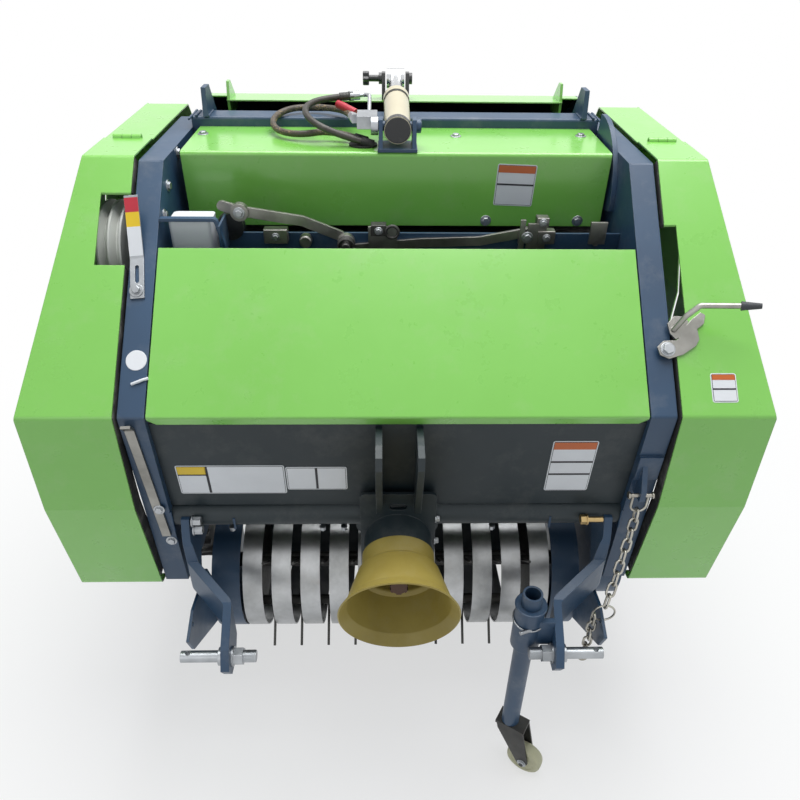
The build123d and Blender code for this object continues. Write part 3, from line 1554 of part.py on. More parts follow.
def hose_grommet():
    """Oval boot on the upper hood that the two hoses come out of."""
    base_z = TOP_Z + 2
    middle = (-68.0, CYLINDER_Y + 18)
    ends = ((HOSE_FRONT[0], HOSE_FRONT[1]), (HOSE_REAR[0], HOSE_REAR[1]))
    with BuildPart() as boot:
        with BuildSketch(Plane.XY.offset(base_z)):
            with Locations(middle):
                Ellipse(28, 24)
        extrude(amount=3.5)
        for first, second in ends:
            start = Vector(*hose_points((first,))[0])
            heading = (Vector(*hose_points((second,))[0]) - start).normalized()
            with BuildSketch(Plane(origin=start, z_dir=heading * -1)):
                Circle(HOSE_RADIUS + 2.5)
            extrude(amount=26)
        split(bisect_by=Plane.XY.offset(base_z), keep=Keep.TOP)
    return boot.part


def hose_fittings():
    """Block on the barrel's pivot pin, the nipple of the rear hose and the pipe of the front one."""
    pin_end = EAR_GAP / 2 + EAR_THICK
    rear_end = Vector(*hose_points((HOSE_REAR[-1],))[0])
    rear_heading = (rear_end - Vector(*hose_points((HOSE_REAR[-2],))[0])).normalized()
    front_end = Vector(*hose_points((HOSE_FRONT[-1],))[0])
    front_heading = (front_end - Vector(*hose_points((HOSE_FRONT[-2],))[0])).normalized()
    block_z = TOP_Z + 48
    pipe_points = (
        front_end + front_heading * 20,
        front_end + front_heading * 36,
        Vector(-56, CYLINDER_Y + 140, TOP_Z + 70),
        Vector(-56, CYLINDER_Y + 70, block_z),
        Vector(-56, CYLINDER_Y + 40, block_z),
    )
    with BuildPart() as fittings:
        add(rod_x(-pin_end - 1, -14, CYLINDER_BACK, CYLINDER_Z, 17))
        add(rod_x(-pin_end, -16, CYLINDER_BACK, CYLINDER_Z, CYLINDER_PIN_RADIUS + FIT), mode=Mode.SUBTRACT)
        with BuildSketch(Plane.YZ.offset(-pin_end - 3)):
            with Locations((CYLINDER_Y + 40, block_z - 2)):
                Rectangle(56, 24)
        extrude(amount=-40)
        with BuildSketch(Plane(origin=rear_end, z_dir=rear_heading)):
            RegularPolygon(10, 6)
        extrude(amount=24)
        with BuildSketch(Plane(origin=front_end, z_dir=front_heading)):
            Circle(9)
        extrude(amount=21)
        with BuildLine():
            pipe = FilletPolyline(*pipe_points, radius=10)
        with BuildSketch(Plane(origin=pipe_points[0], z_dir=front_heading)):
            Circle(4)
        sweep(path=pipe)
    return fittings.part


# Safety chain

CHAIN_PITCH = LINK_LENGTH - 2 * CHAIN_WIRE - LINK_PLAY


def chamfered(length, width, cut):
    """Corners of a rectangle with its corners cut off."""
    half = length / 2
    side = width / 2
    return (
        (half, side - cut),
        (half - cut, side),
        (cut - half, side),
        (-half, side - cut),
        (-half, cut - side),
        (cut - half, -side),
        (half - cut, -side),
        (half, cut - side),
    )


def chain_link(centre, along, normal):
    """One link: a ring of square wire, longer than it is wide."""
    inner_length = LINK_LENGTH - 2 * CHAIN_WIRE
    inner_width = LINK_WIDTH - 2 * CHAIN_WIRE
    with BuildPart() as link:
        with BuildSketch(Plane(origin=centre, x_dir=along, z_dir=normal)):
            with BuildLine():
                Polyline(*chamfered(LINK_LENGTH, LINK_WIDTH, 6), close=True)
            make_face()
            with BuildLine():
                Polyline(*chamfered(inner_length, inner_width, 2), close=True)
            make_face(mode=Mode.SUBTRACT)
        extrude(amount=CHAIN_WIRE / 2, both=True)
    return link.part


def link_normal(along, index):
    """Neighbouring links stand crosswise; even ones have their holes along X."""
    crosswise = (Vector(1, 0, 0) - along * along.X).normalized()
    return crosswise if index % 2 == 0 else along.cross(crosswise)


def ring_centre():
    plate_x = PICKUP_SIDE_X + 1.5 * PICKUP_SIDE_THICK
    rise = RING_RADIUS + RING_HOLE_RADIUS - RING_WIRE / 2 - 1.1
    return Vector(plate_x, back(RING_HOLE_BACK), RING_HOLE_Z + rise)


def chain_links():
    """Centre, direction and normal of each link, the hanging run first and then the tail."""
    play = CHAIN_WIRE / 2 + LINK_PLAY / 2
    start = Vector(SHACKLE_X, back(-SHACKLE_OUT), SHACKLE_Z - SHACKLE_DROP)
    end = ring_centre() + Vector(0, 0, RING_RADIUS)
    chord = end - start
    reach = chord.length + 2 * play
    along = chord.normalized()
    count = 2 * math.ceil((1.004 * reach / CHAIN_PITCH - 1) / 2) + 1
    middle = count // 2
    squares = middle * (middle + 1) * (2 * middle + 1) / 6
    step = math.sqrt((count - reach / CHAIN_PITCH) / squares)
    level = along.cross(Vector(0, 0, 1)).normalized()
    joint = start - along * play
    links = []
    for index in range(count):
        heading = along.rotate(Axis((0, 0, 0), level), math.degrees(step * (index - middle)))
        links.append((joint + heading * (CHAIN_PITCH / 2), heading, link_normal(heading, index)))
        joint = joint + heading * CHAIN_PITCH
    down = Vector(0, 0, -1)
    turn = math.radians(TAIL_ANGLE)
    tail = Vector(RING_RADIUS * math.cos(turn), 0, RING_RADIUS * math.sin(turn) + 7.5)
    joint = ring_centre() + tail
    for index in range(TAIL_LINKS):
        links.append((joint + down * (CHAIN_PITCH / 2), down, link_normal(down, index)))
        joint = joint + down * CHAIN_PITCH
    return links


def safety_chain():
    """Shackle, chain links, the ring through the right nose plate, and the tail on it."""
    bow_z = SHACKLE_Z - SHACKLE_DROP
    bow = (
        (SHACKLE_X - 17, SHACKLE_Z + 5),
        (SHACKLE_X - 17, bow_z + 8),
        (SHACKLE_X - 9, bow_z - 2.5),
        (SHACKLE_X + 9, bow_z - 2.5),
        (SHACKLE_X + 17, bow_z + 8),
        (SHACKLE_X + 17, SHACKLE_Z + 5),
        (SHACKLE_X + 12, SHACKLE_Z + 5),
        (SHACKLE_X + 12, bow_z + 10),
        (SHACKLE_X + 7, bow_z + 2.5),
        (SHACKLE_X - 7, bow_z + 2.5),
        (SHACKLE_X - 12, bow_z + 10),
        (SHACKLE_X - 12, SHACKLE_Z + 5),
    )
    centre = ring_centre()
    with BuildPart() as chain:
        add(rod_x(SHACKLE_X - 20, 40, -SHACKLE_OUT, SHACKLE_Z, 4))
        with BuildSketch(Plane.XZ.offset(-back(-SHACKLE_OUT))):
            with BuildLine():
                Polyline(*bow, close=True)
            make_face()
        extrude(amount=CHAIN_WIRE / 2, both=True)
        for link in chain_links():
            add(chain_link(*link))
        with BuildSketch(Plane(origin=centre, x_dir=(1, 0, 0), z_dir=(0, -1, 0))):
            RegularPolygon(RING_RADIUS + RING_WIRE / 2, 20)
            RegularPolygon(RING_RADIUS - RING_WIRE / 2, 20, mode=Mode.SUBTRACT)
        extrude(amount=RING_WIRE / 2, both=True)
    return chain.part


# Drive of the rollers, behind the left cover

def roller_drive():
    """Sprockets on the front rollers' shafts and the gearbox shaft, and the chain round them."""
    gearbox_shaft = (GEARBOX_BACK + GEARBOX_LENGTH / 2, GEARBOX_BASE_Z + GEARBOX_HEIGHT / 2)
    shafts = [around(CHAMBER_BACK, CHAMBER_Z, ROLLER_CIRCLE, angle) for angle in FRAME_ROLLERS]
    shafts.append(gearbox_shaft)
    hub_start = FRAME_HALF + PLATE + BEARING_DEPTH + FIT
    with BuildPart() as drive:
        outer_radius = SPROCKET_RADIUS + DRIVE_CHAIN_DEPTH
        for radius, mode in ((outer_radius, Mode.ADD), (SPROCKET_RADIUS, Mode.SUBTRACT)):
            with BuildSketch(Plane.YZ.offset(-SPROCKET_X)):
                for shaft in shafts:
                    with Locations(spot(*shaft)):
                        Circle(radius)
                make_hull()
            extrude(amount=-SPROCKET_WIDTH, mode=mode)
        for shaft in shafts:
            add(rod_x(-SPROCKET_X, -SPROCKET_WIDTH, *shaft, SPROCKET_RADIUS + 1))
            add(rod_x(-hub_start, hub_start - SPROCKET_X - 1, *shaft, 24))
        add(rod_x(-FRAME_HALF - PLATE, FRAME_HALF + PLATE - SPROCKET_X, *gearbox_shaft, 24))
    return drive.part


def build():
    write(side_frame(-1), "side_frame_left")
    write(side_frame(1), "side_frame_right")
    write(rollers(FRAME_ROLLERS), "chamber_rollers_front")
    write(rollers(GATE_ROLLERS), "chamber_rollers_rear")
    write(front_tube(), "front_cross_tube")
    write(front_panel(), "front_panel")
    write(hitch_mast(), "hitch_mast")
    write(pto_shaft(), "pto_shaft")
    write(gearbox(), "gearbox")
    write(pto_shield(), "pto_shield")
    write(hood_bar(), "hood_hinge_bar")
    write(front_hood(), "front_hood")
    write(upper_hood(), "upper_hood")
    write(top_beam(), "top_beam")
    write(gate_skin(), "tailgate_skin")
    write(gate_lug(), "tailgate_lug")
    write(cylinder_bracket(), "cylinder_bracket")
    write(cylinder_barrel(), "cylinder_barrel")
    write(cylinder_rod(), "cylinder_rod")
    write(pickup_bands(), "pickup_bands")
    write(pickup_reel(), "pickup_reel")
    write(pickup_guard(), "pickup_drive_guard")
    write(axle_beam(), "axle_beam")
    write(jack_sleeve(), "jack_sleeve")
    write(jack_leg(), "jack_leg")
    write(castor_fork(), "castor_fork")
    write(castor_wheel(), "castor_wheel")
    write(v_pulley(), "v_pulley")
    write(twine_rail(), "twine_rail")
    write(twine_box(), "twine_box")
    write(twine_arms(), "twine_arms")
    write(crescent_plate(), "crescent_plate")
    write(latch_lever(), "latch_lever")
    write(latch_grip(), "latch_grip")
    write(indicator_bar(), "indicator_bar")
    write(side_lever(), "side_lever")
    write(hose(HOSE_FRONT, "hose_front"), "hose_front")
    write(hose(HOSE_REAR, "hose_rear"), "hose_rear")
    write(hose_grommet(), "hose_grommet")
    write(hose_fittings(), "hose_fittings")
    write(safety_chain(), "safety_chain")
    write(roller_drive(), "roller_drive")
    for side, name in SIDES:
        write(hitch_arm(side), f"hitch_arm_{name}")
        write(hitch_pin(side), f"hitch_pin_{name}")
        write(gate_bracket(side), f"tailgate_bracket_{name}")
        write(gate_side(side), f"tailgate_side_{name}")
        write(pickup_side(side), f"pickup_side_{name}")
        write(tyre(side), f"tyre_{name}")
        write(rim(side), f"rim_{name}")
        write(cover_door(side), f"cover_door_{name}")
        write(cover_rear(side), f"cover_rear_{name}")


os.makedirs("parts", exist_ok=True)
build()
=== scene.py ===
import math
import random

import bmesh
import bpy
from mathutils import Matrix, Vector


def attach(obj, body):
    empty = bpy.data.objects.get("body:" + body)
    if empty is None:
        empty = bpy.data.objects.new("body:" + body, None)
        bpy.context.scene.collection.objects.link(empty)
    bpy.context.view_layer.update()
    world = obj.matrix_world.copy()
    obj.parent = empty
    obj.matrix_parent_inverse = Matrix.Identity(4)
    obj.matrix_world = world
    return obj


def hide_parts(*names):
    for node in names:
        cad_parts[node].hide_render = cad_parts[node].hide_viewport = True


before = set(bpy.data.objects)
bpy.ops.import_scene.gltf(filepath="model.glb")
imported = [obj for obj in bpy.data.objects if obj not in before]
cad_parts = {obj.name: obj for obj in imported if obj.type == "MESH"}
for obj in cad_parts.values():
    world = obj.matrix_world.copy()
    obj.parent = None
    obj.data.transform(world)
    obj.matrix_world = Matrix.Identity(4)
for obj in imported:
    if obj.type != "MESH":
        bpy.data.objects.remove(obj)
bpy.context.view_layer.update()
random.seed(7)

# Places in metres: the crease across the posts and covers, and the upper end of their slope
CREASE_Y = -0.457
CREASE_Z = 0.900
BEND_BACK = 0.365
TOP_Z = 1.228

RIGHT = Vector((1.0, 0.0, 0.0))
LEFT = Vector((-1.0, 0.0, 0.0))
FRONT = Vector((0.0, -1.0, 0.0))
UP = Vector((0.0, 0.0, 1.0))
DOWN = Vector((0.0, 0.0, -1.0))


def at(x, back, z):
    """A point from its X, its distance behind the crease and its height."""
    return Vector((x, CREASE_Y + back, z))


# Middle of the circle of chamber rollers
ROLLERS = at(0, 0.700, 0.790)

# Camera, fitted to the photo; lens and sensor in millimetres

CAMERA_PLACE = at(-0.027, -0.967, 1.618)
CAMERA_DOWN = math.radians(35.1)
CAMERA_YAW = math.radians(1.6)
CAMERA_ROLL = math.radians(0.84)
CAMERA_LENS = 31.5
CAMERA_SENSOR = 36.0
CAMERA_NEAR, CAMERA_FAR = 0.05, 60.0


def make_camera():
    forward = Vector((
        math.sin(CAMERA_YAW) * math.cos(CAMERA_DOWN),
        math.cos(CAMERA_YAW) * math.cos(CAMERA_DOWN),
        -math.sin(CAMERA_DOWN),
    ))
    level = Vector((math.cos(CAMERA_YAW), -math.sin(CAMERA_YAW), 0.0))
    raised = level.cross(forward)
    right = level * math.cos(CAMERA_ROLL) + raised * math.sin(CAMERA_ROLL)
    up = right.cross(forward)
    data = bpy.data.cameras.new("photo_camera")
    data.lens = CAMERA_LENS
    data.sensor_width = CAMERA_SENSOR
    data.clip_start = CAMERA_NEAR
    data.clip_end = CAMERA_FAR
    camera = bpy.data.objects.new("photo_camera", data)
    bpy.context.collection.objects.link(camera)
    columns = Matrix((right, up, -forward)).transposed()
    camera.matrix_world = Matrix.Translation(CAMERA_PLACE) @ columns.to_4x4()
    bpy.context.scene.camera = camera


make_camera()


# Materials

def colour(red, green, blue):
    """Linear colour from the 0 to 255 values of a picture."""
    out = []
    for value in (red, green, blue):
        share = value / 255
        out.append(share / 12.92 if share <= 0.04045 else ((share + 0.055) / 1.055) ** 2.4)
    return (*out, 1.0)


class Nodes:
    """Adds and joins the nodes of one material."""

    def __init__(self, name):
        self.material = bpy.data.materials.new(name)
        self.material.use_nodes = True
        self.tree = self.material.node_tree
        self.shader = self.tree.nodes["Principled BSDF"]
        self.place = self.add("ShaderNodeTexCoord")
        self.rounded = None

    def add(self, kind, **values):
        node = self.tree.nodes.new(kind)
        for key, value in values.items():
            setattr(node, key, value)
        return node

    def join(self, source, target):
        self.tree.links.new(source, target)

    def noise(self, scale, detail=4.0, roughness=0.55, stretch=(1, 1, 1)):
        mapping = self.add("ShaderNodeMapping")
        mapping.inputs["Scale"].default_value = stretch
        self.join(self.place.outputs["Object"], mapping.inputs["Vector"])
        noise = self.add("ShaderNodeTexNoise")
        noise.inputs["Scale"].default_value = scale
        noise.inputs["Detail"].default_value = detail
        noise.inputs["Roughness"].default_value = roughness
        self.join(mapping.outputs["Vector"], noise.inputs["Vector"])
        return noise.outputs["Fac"]

    def ramp(self, source, stops):
        ramp = self.add("ShaderNodeValToRGB")
        elements = ramp.color_ramp.elements
        while len(elements) < len(stops):
            elements.new(0.5)
        for element, (position, value) in zip(elements, stops):
            element.position = position
            element.color = value if isinstance(value, tuple) else (value, value, value, 1.0)
        self.join(source, ramp.inputs["Fac"])
        return ramp.outputs["Color"]

    def blend(self, share, low, high, kind="MIX"):
        mix = self.add("ShaderNodeMix", data_type="RGBA", blend_type=kind)
        for source, socket in ((share, 0), (low, 6), (high, 7)):
            if isinstance(source, (int, float, tuple)):
                mix.inputs[socket].default_value = source
            else:
                self.join(source, mix.inputs[socket])
        return mix.outputs[2]

    def spread(self, source, low, high):
        scaled = self.add("ShaderNodeMapRange")
        scaled.inputs["To Min"].default_value = low
        scaled.inputs["To Max"].default_value = high
        self.join(source, scaled.inputs["Value"])
        return scaled.outputs["Result"]

    def edges(self, radius=0.0018):
        """Mask of sharp edges, where paint wears first; the edges are shaded as rounded, too."""
        bevel = self.add("ShaderNodeBevel", samples=6)
        bevel.inputs["Radius"].default_value = radius
        self.rounded = bevel.outputs["Normal"]
        geometry = self.add("ShaderNodeNewGeometry")
        turned = self.add("ShaderNodeVectorMath", operation="DOT_PRODUCT")
        self.join(self.rounded, turned.inputs[0])
        self.join(geometry.outputs["Normal"], turned.inputs[1])
        return self.ramp(turned.outputs["Value"], ((0.84, 1.0), (0.97, 0.0)))

    def bump(self, sources, distance):
        """Adds height maps one after another: each is (source, strength)."""
        normal = self.rounded
        for source, strength in sources:
            bump = self.add("ShaderNodeBump")
            bump.inputs["Strength"].default_value = strength
            bump.inputs["Distance"].default_value = distance
            self.join(source, bump.inputs["Height"])
            if normal is not None:
                self.join(normal, bump.inputs["Normal"])
            normal = bump.outputs["Normal"]
        self.join(normal, self.shader.inputs["Normal"])

    def set(self, **values):
        for key, value in values.items():
            self.shader.inputs[key.replace("_", " ")].default_value = value


DUST = (0.62, 0.60, 0.54, 1.0)
DULL_DUST = (0.50, 0.48, 0.43, 1.0)
GREY_STAIN = (0.30, 0.27, 0.22, 1.0)
STEEL_STAIN = (0.20, 0.18, 0.16, 1.0)
OIL_STAIN = (0.08, 0.05, 0.03, 1.0)
RUST_STAIN = (0.09, 0.035, 0.015, 1.0)
ORANGE_PEEL, WEAR = 0.05, 0.75


def paint(name, base, dark, worn, rough, coat, dust=0.12):
    """Sprayed gloss paint: faint orange peel, uneven film, dust and worn edges."""
    n = Nodes(name)
    film = n.ramp(n.noise(3.5, 5.0), ((0.3, colour(*dark)), (0.7, colour(*base))))
    dusty = n.ramp(n.noise(11.0, 8.0, 0.7), ((0.52, 0.0), (0.78, 1.0)))
    dusted = n.blend(n.spread(dusty, 0.0, dust), film, DUST)
    chips = n.ramp(n.noise(70.0, 6.0, 0.7), ((0.46, 0.0), (0.62, WEAR)))
    worn_share = n.blend(1.0, n.edges(), chips, "MULTIPLY")
    n.join(n.blend(worn_share, dusted, colour(*worn)), n.shader.inputs["Base Color"])
    gloss = n.spread(n.noise(18.0, 6.0, 0.65), rough - 0.07, rough + 0.14)
    n.join(gloss, n.shader.inputs["Roughness"])
    n.bump(((n.noise(420.0, 2.0), ORANGE_PEEL), (n.noise(38.0, 3.0), 0.05)), 0.0006)
    n.set(Coat_Weight=coat, Coat_Roughness=0.16, Specular_IOR_Level=0.5)
    return n.material


def metal(name, base, dark, rough, metallic=1.0, stretch=(1, 1, 1), grain=90.0,
          stain=GREY_STAIN, stained=0.25):
    """Bare or plated metal: brushed grain, spangle, stains and bright edges."""
    n = Nodes(name)
    base, dark = colour(*base), colour(*dark)
    body = n.ramp(n.noise(9.0, 6.0, 0.6), ((0.32, dark), (0.68, base)))
    spots = n.ramp(n.noise(26.0, 8.0, 0.75), ((0.55, 0.0), (0.75, 1.0)))
    bright = n.blend(n.spread(n.edges(0.0012), 0.0, 0.35), body, base)
    n.join(n.blend(n.spread(spots, 0.0, stained), bright, stain), n.shader.inputs["Base Color"])
    brushed = n.noise(grain, 4.0, 0.6, stretch)
    n.join(n.spread(brushed, rough - 0.1, rough + 0.18), n.shader.inputs["Roughness"])
    n.bump(((brushed, 0.12), (n.noise(14.0, 4.0), 0.08)), 0.0008)
    n.set(Metallic=metallic)
    return n.material


def plastic(name, base, dark, rough, grain=260.0, bump=0.12, *, dust, coat=0.0):
    """Moulded plastic or rubber: fine grain, faded patches and settled dust."""
    n = Nodes(name)
    body = n.ramp(n.noise(7.0, 5.0, 0.6), ((0.3, colour(*dark)), (0.7, colour(*base))))
    dusty = n.ramp(n.noise(16.0, 8.0, 0.7), ((0.5, 0.0), (0.8, 1.0)))
    dusted = n.blend(n.spread(dusty, 0.0, dust), body, DULL_DUST)
    n.join(dusted, n.shader.inputs["Base Color"])
    n.join(n.spread(n.noise(30.0, 5.0), rough - 0.08, rough + 0.16), n.shader.inputs["Roughness"])
    n.bump(((n.noise(grain, 3.0), bump), (n.noise(20.0, 4.0), 0.06)), 0.0008)
    n.set(Coat_Weight=coat, Specular_IOR_Level=0.45)
    return n.material


def braid(name):
    """Braided hose cover: dark rubber with tan yarn showing in flecks."""
    n = Nodes(name)
    flecks = n.ramp(n.noise(330.0, 3.0, 0.7, (1.0, 0.6, 1.0)), ((0.50, 0.0), (0.60, 1.0)))
    patches = n.ramp(n.noise(34.0, 4.0, 0.6), ((0.42, 0.1), (0.6, 0.9)))
    yarn = n.blend(1.0, flecks, patches, "MULTIPLY")
    n.join(n.blend(yarn, colour(62, 56, 48), colour(176, 150, 108)), n.shader.inputs["Base Color"])
    n.join(n.spread(flecks, 0.42, 0.7), n.shader.inputs["Roughness"])
    n.bump(((flecks, 0.5), (n.noise(600.0, 2.0), 0.2)), 0.0008)
    return n.material


GREEN = paint("green_paint", (131, 204, 88), (125, 197, 80), (84, 112, 62), 0.26, 0.6)
SLATE = paint("slate_paint", (44, 74, 103), (38, 63, 89), (108, 114, 118), 0.42, 0.12)
# Painted shade: a darker copy of the slate paint, for the slate parts that lie in shade under the
# hoods and inside the chamber
SLATE_SHADED = paint("slate_paint_dark", (24, 39, 45), (20, 33, 38), (88, 92, 94), 0.48, 0.04, 0.06)
BLACK = paint("black_paint", (30, 32, 35), (22, 24, 27), (90, 90, 88), 0.36, 0.3)
ZINC = metal("zinc_plate", (188, 192, 196), (140, 144, 148), 0.34, stained=0.18)
BRASS = metal("yellow_zinc", (206, 180, 128), (172, 148, 104), 0.34, stained=0.2)
BAND_STEEL = metal("band_steel", (188, 190, 192), (140, 142, 142), 0.3,
                   stretch=(14, 1, 1), grain=60.0)
RUSTED = metal("rusted_steel", (92, 68, 54), (60, 44, 36), 0.6, 0.4, stain=RUST_STAIN, stained=0.6)
BARE_STEEL = metal("bare_steel", (166, 165, 160), (120, 119, 115), 0.34,
                   stain=STEEL_STAIN, stained=0.3)
DARK_STEEL = metal("dark_steel", (84, 84, 82), (52, 52, 52), 0.45, 0.75,
                   stain=OIL_STAIN, stained=0.4)
CHROME = metal("chrome_rod", (214, 216, 218), (192, 195, 198), 0.14, stained=0.05)
CHAIN_STEEL = metal("chain_steel", (196, 194, 186), (138, 134, 124), 0.3, stained=0.35)
BARREL = paint("barrel_paint", (208, 200, 172), (190, 180, 150), (120, 112, 96), 0.3, 0.3, 0.25)
RIM = paint("rim_paint", (50, 80, 108), (43, 68, 93), (120, 124, 128), 0.36, 0.25, 0.3)
SHIELD = plastic("shield_plastic", (172, 154, 78), (152, 134, 62), 0.42, 180.0, dust=0.12, coat=0.1)
RUBBER = plastic("tyre_rubber", (40, 40, 41), (28, 28, 29), 0.72, 140.0, 0.25, dust=0.35)
HOSE = plastic("hose_rubber", (66, 62, 56), (50, 47, 42), 0.42, 500.0, 0.15, dust=0.2)
BRAID = braid("hose_braid")
NYLON = plastic("castor_nylon", (212, 210, 178), (188, 184, 150), 0.45, dust=0.3)
WHITE = plastic("white_plastic", (236, 238, 241), (224, 226, 229), 0.4, dust=0.06, coat=0.15)
RED = plastic("red_plastic", (200, 44, 62), (176, 34, 52), 0.4, dust=0.04, coat=0.2)
YELLOW = plastic("yellow_film", (240, 204, 40), (226, 188, 30), 0.38, dust=0.05, coat=0.2)
ORANGE = plastic("orange_film", (206, 104, 40), (190, 92, 34), 0.38, dust=0.05, coat=0.2)
INK = plastic("black_film", (38, 38, 44), (30, 30, 36), 0.42, dust=0.05)
GRIP = plastic("grip_rubber", (72, 76, 80), (58, 61, 65), 0.6, bump=0.2, dust=0.1)
PULLEY = paint("pulley_paint", (206, 208, 202), (186, 188, 182), (110, 110, 106), 0.36, 0.2)

# The starts of the names of the nodes that wear a material; the rest are slate
NODE_MATERIALS = (
    (GREEN, ("front_hood", "upper_hood", "tailgate_skin", "cover_")),
    # The front panel, mast, cross tube and gearbox wear the darker copy of the slate: painted shade
    # from the hood above them
    (SLATE_SHADED, ("front_panel", "hitch_mast", "front_cross_tube", "gearbox")),
    (BAND_STEEL, ("pickup_bands",)),
    (ZINC, ("hitch_pin", "indicator_bar", "hose_fittings")),
    (BARE_STEEL, ("side_lever", "twine_arms", "latch_lever")),
    (RUSTED, ("pto_shaft",)),
    (SHIELD, ("pto_shield",)),
    (RIM, ("rim_",)),
    (RUBBER, ("tyre_", "hose_grommet")),
    (NYLON, ("castor_wheel",)),
    (DARK_STEEL, ("castor_fork", "pickup_reel", "chamber_rollers", "roller_drive")),
    (CHAIN_STEEL, ("safety_chain",)),
    (CHROME, ("cylinder_rod",)),
    (BARREL, ("cylinder_barrel",)),
    (WHITE, ("twine_box",)),
    (PULLEY, ("v_pulley",)),
    (BLACK, ("tailgate_lug",)),
    (GRIP, ("latch_grip",)),
)


def dress_nodes():
    for name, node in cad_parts.items():
        chosen = SLATE
        for material, starts in NODE_MATERIALS:
            if name.startswith(starts):
                chosen = material
        node.data.materials.clear()
        node.data.materials.append(chosen)


dress_nodes()


FACES_MIDDLE = 0.2


def line_and_shade_inside(node, material, middle):
    """Gives a shell's faces that look at a middle line along X another material."""
    node.data.materials.append(material)
    place = node.matrix_world
    for face in node.data.polygons:
        inward = middle - place @ face.center
        inward.x = 0.0
        if (place.to_3x3() @ face.normal).dot(inward.normalized()) > FACES_MIDDLE:
            face.material_index = 1


# The tailgate's inside is slate, given here in the darker copy of the slate: real two-tone paint
# with painted shade of the chamber on it
line_and_shade_inside(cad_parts["tailgate_skin"], SLATE_SHADED, ROLLERS)


# Forms

ROOT_THREE = 1.732
CORNER_STEPS = 4
SHARP_FROM = math.radians(38)


def stand(place, axis, turn=0.0):
    """Matrix whose z runs along an axis from a place."""
    turned = Vector(axis).to_track_quat("Z", "Y").to_matrix().to_4x4()
    return Matrix.Translation(place) @ turned @ Matrix.Rotation(turn, 4, "Z")


def circle(radius, sides, turn=0.0):
    turns = [turn + 2 * math.pi / sides * index for index in range(sides)]
    return [(radius * math.cos(angle), radius * math.sin(angle)) for angle in turns]


def hexagon(across):
    """Corners of a hexagon from its width across the flats."""
    return circle(across / ROOT_THREE, 6)


def mirrored(half, middle=()):
    """A closed profile from its half below the middle height."""
    return [*half, *middle, *((radius, -height) for radius, height in reversed(half))]


def inset(outline, amount):
    """An outline that runs anticlockwise, moved inward."""
    moved = []
    for index, corner in enumerate(outline):
        here = Vector(corner)
        first = (here - Vector(outline[index - 1])).normalized()
        second = (Vector(outline[(index + 1) % len(outline)]) - here).normalized()
        before = Vector((-first.y, first.x))
        after = Vector((-second.y, second.x))
        moved.append(tuple(here + (before + after) * (amount / max(0.3, 1 + before.dot(after)))))
    return moved


def rectangle(width, height, corner=0.0):
    """Corners of a rectangle about its middle, anticlockwise, rounded if asked."""
    half, side = width / 2, height / 2
    if corner <= 0:
        return [(-half, -side), (half, -side), (half, side), (-half, side)]
    points = []
    corners = ((half, side, 0), (-half, side, 90), (-half, -side, 180), (half, -side, 270))
    for x, y, start in corners:
        centre_x = x - math.copysign(corner, x)
        centre_y = y - math.copysign(corner, y)
        for step in range(CORNER_STEPS + 1):
            turn = math.radians(start + 90 * step / CORNER_STEPS)
            points.append((centre_x + corner * math.cos(turn), centre_y + corner * math.sin(turn)))
    return points


class Form:
    """Closed shells gathered into one mesh."""

    def __init__(self):
        self.mesh = bmesh.new()

    def skin(self, rings, closed=False):
        """Faces from ring to ring, with both ends closed or the last ring joined to the first."""
        rows = [[self.mesh.verts.new(point) for point in ring] for ring in rings]
        pairs = list(zip(rows, rows[1:]))
        if closed:
            pairs.append((rows[-1], rows[0]))
        for low, high in pairs:
            for index in range(len(low)):
                after = (index + 1) % len(low)
                self.mesh.faces.new((low[index], low[after], high[after], high[index]))
        if not closed:
            self.mesh.faces.new(rows[0][::-1])
            self.mesh.faces.new(rows[-1])
        return self

    def lathe(self, profile, matrix, sides, closed=False):
        """A turned shape from (radius, height) pairs."""
        rings = []
        for radius, height in profile:
            rings.append([matrix @ Vector((x, y, height)) for x, y in circle(radius, sides)])
        return self.skin(rings, closed)

    def slab(self, outline, low, high, matrix, bevel=0.0):
        """A plate with its edges broken."""
        area = 0.0
        for (x, y), (next_x, next_y) in zip(outline, outline[1:] + outline[:1]):
            area += x * next_y - next_x * y
        if area < 0:
            outline = outline[::-1]
        layers = [(outline, low), (outline, high)]
        if bevel:
            small = inset(outline, bevel)
            layers = [(small, low), (outline, low + bevel), (outline, high - bevel), (small, high)]
        rings = []
        for ring, height in layers:
            rings.append([matrix @ Vector((x, y, height)) for x, y in ring])
        return self.skin(rings)

    def tube(self, path, radius, sides, closed=False, rough=0.0):
        """A round bar along points; rough makes its radius vary, as in a weld."""
        path = [Vector(point) for point in path]
        count = len(path)
        tangents = []
        for index in range(count):
            before = path[index - 1] if closed or index else path[0]
            after = path[(index + 1) % count] if closed or index < count - 1 else path[-1]
            tangents.append((after - before).normalized())
        normal = tangents[0].orthogonal().normalized()
        rings = []
        for point, tangent in zip(path, tangents):
            normal = (normal - tangent * normal.dot(tangent)).normalized()
            across = tangent.cross(normal)
            reach = radius * (1 + rough * random.uniform(-1, 1))
            rings.append([point + (normal * x + across * y) for x, y in circle(reach, sides)])
        return self.skin(rings, closed)


def add_piece(name, mesh, material, body):
    """Links a mesh or curve as a piece of the given material that rides on a body."""
    mesh.materials.append(material)
    shape = bpy.data.objects.new(name, mesh)
    bpy.context.collection.objects.link(shape)
    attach(shape, body)
    return shape


def piece(name, form, material, body="frame"):
    """Turns a form into a smooth piece with its sharp edges kept."""
    mesh = bpy.data.meshes.new(name)
    bmesh.ops.recalc_face_normals(form.mesh, faces=form.mesh.faces)
    form.mesh.to_mesh(mesh)
    form.mesh.free()
    mesh.polygons.foreach_set("use_smooth", [True] * len(mesh.polygons))
    mesh.set_sharp_from_angle(angle=SHARP_FROM)
    return add_piece(name, mesh, material, body)


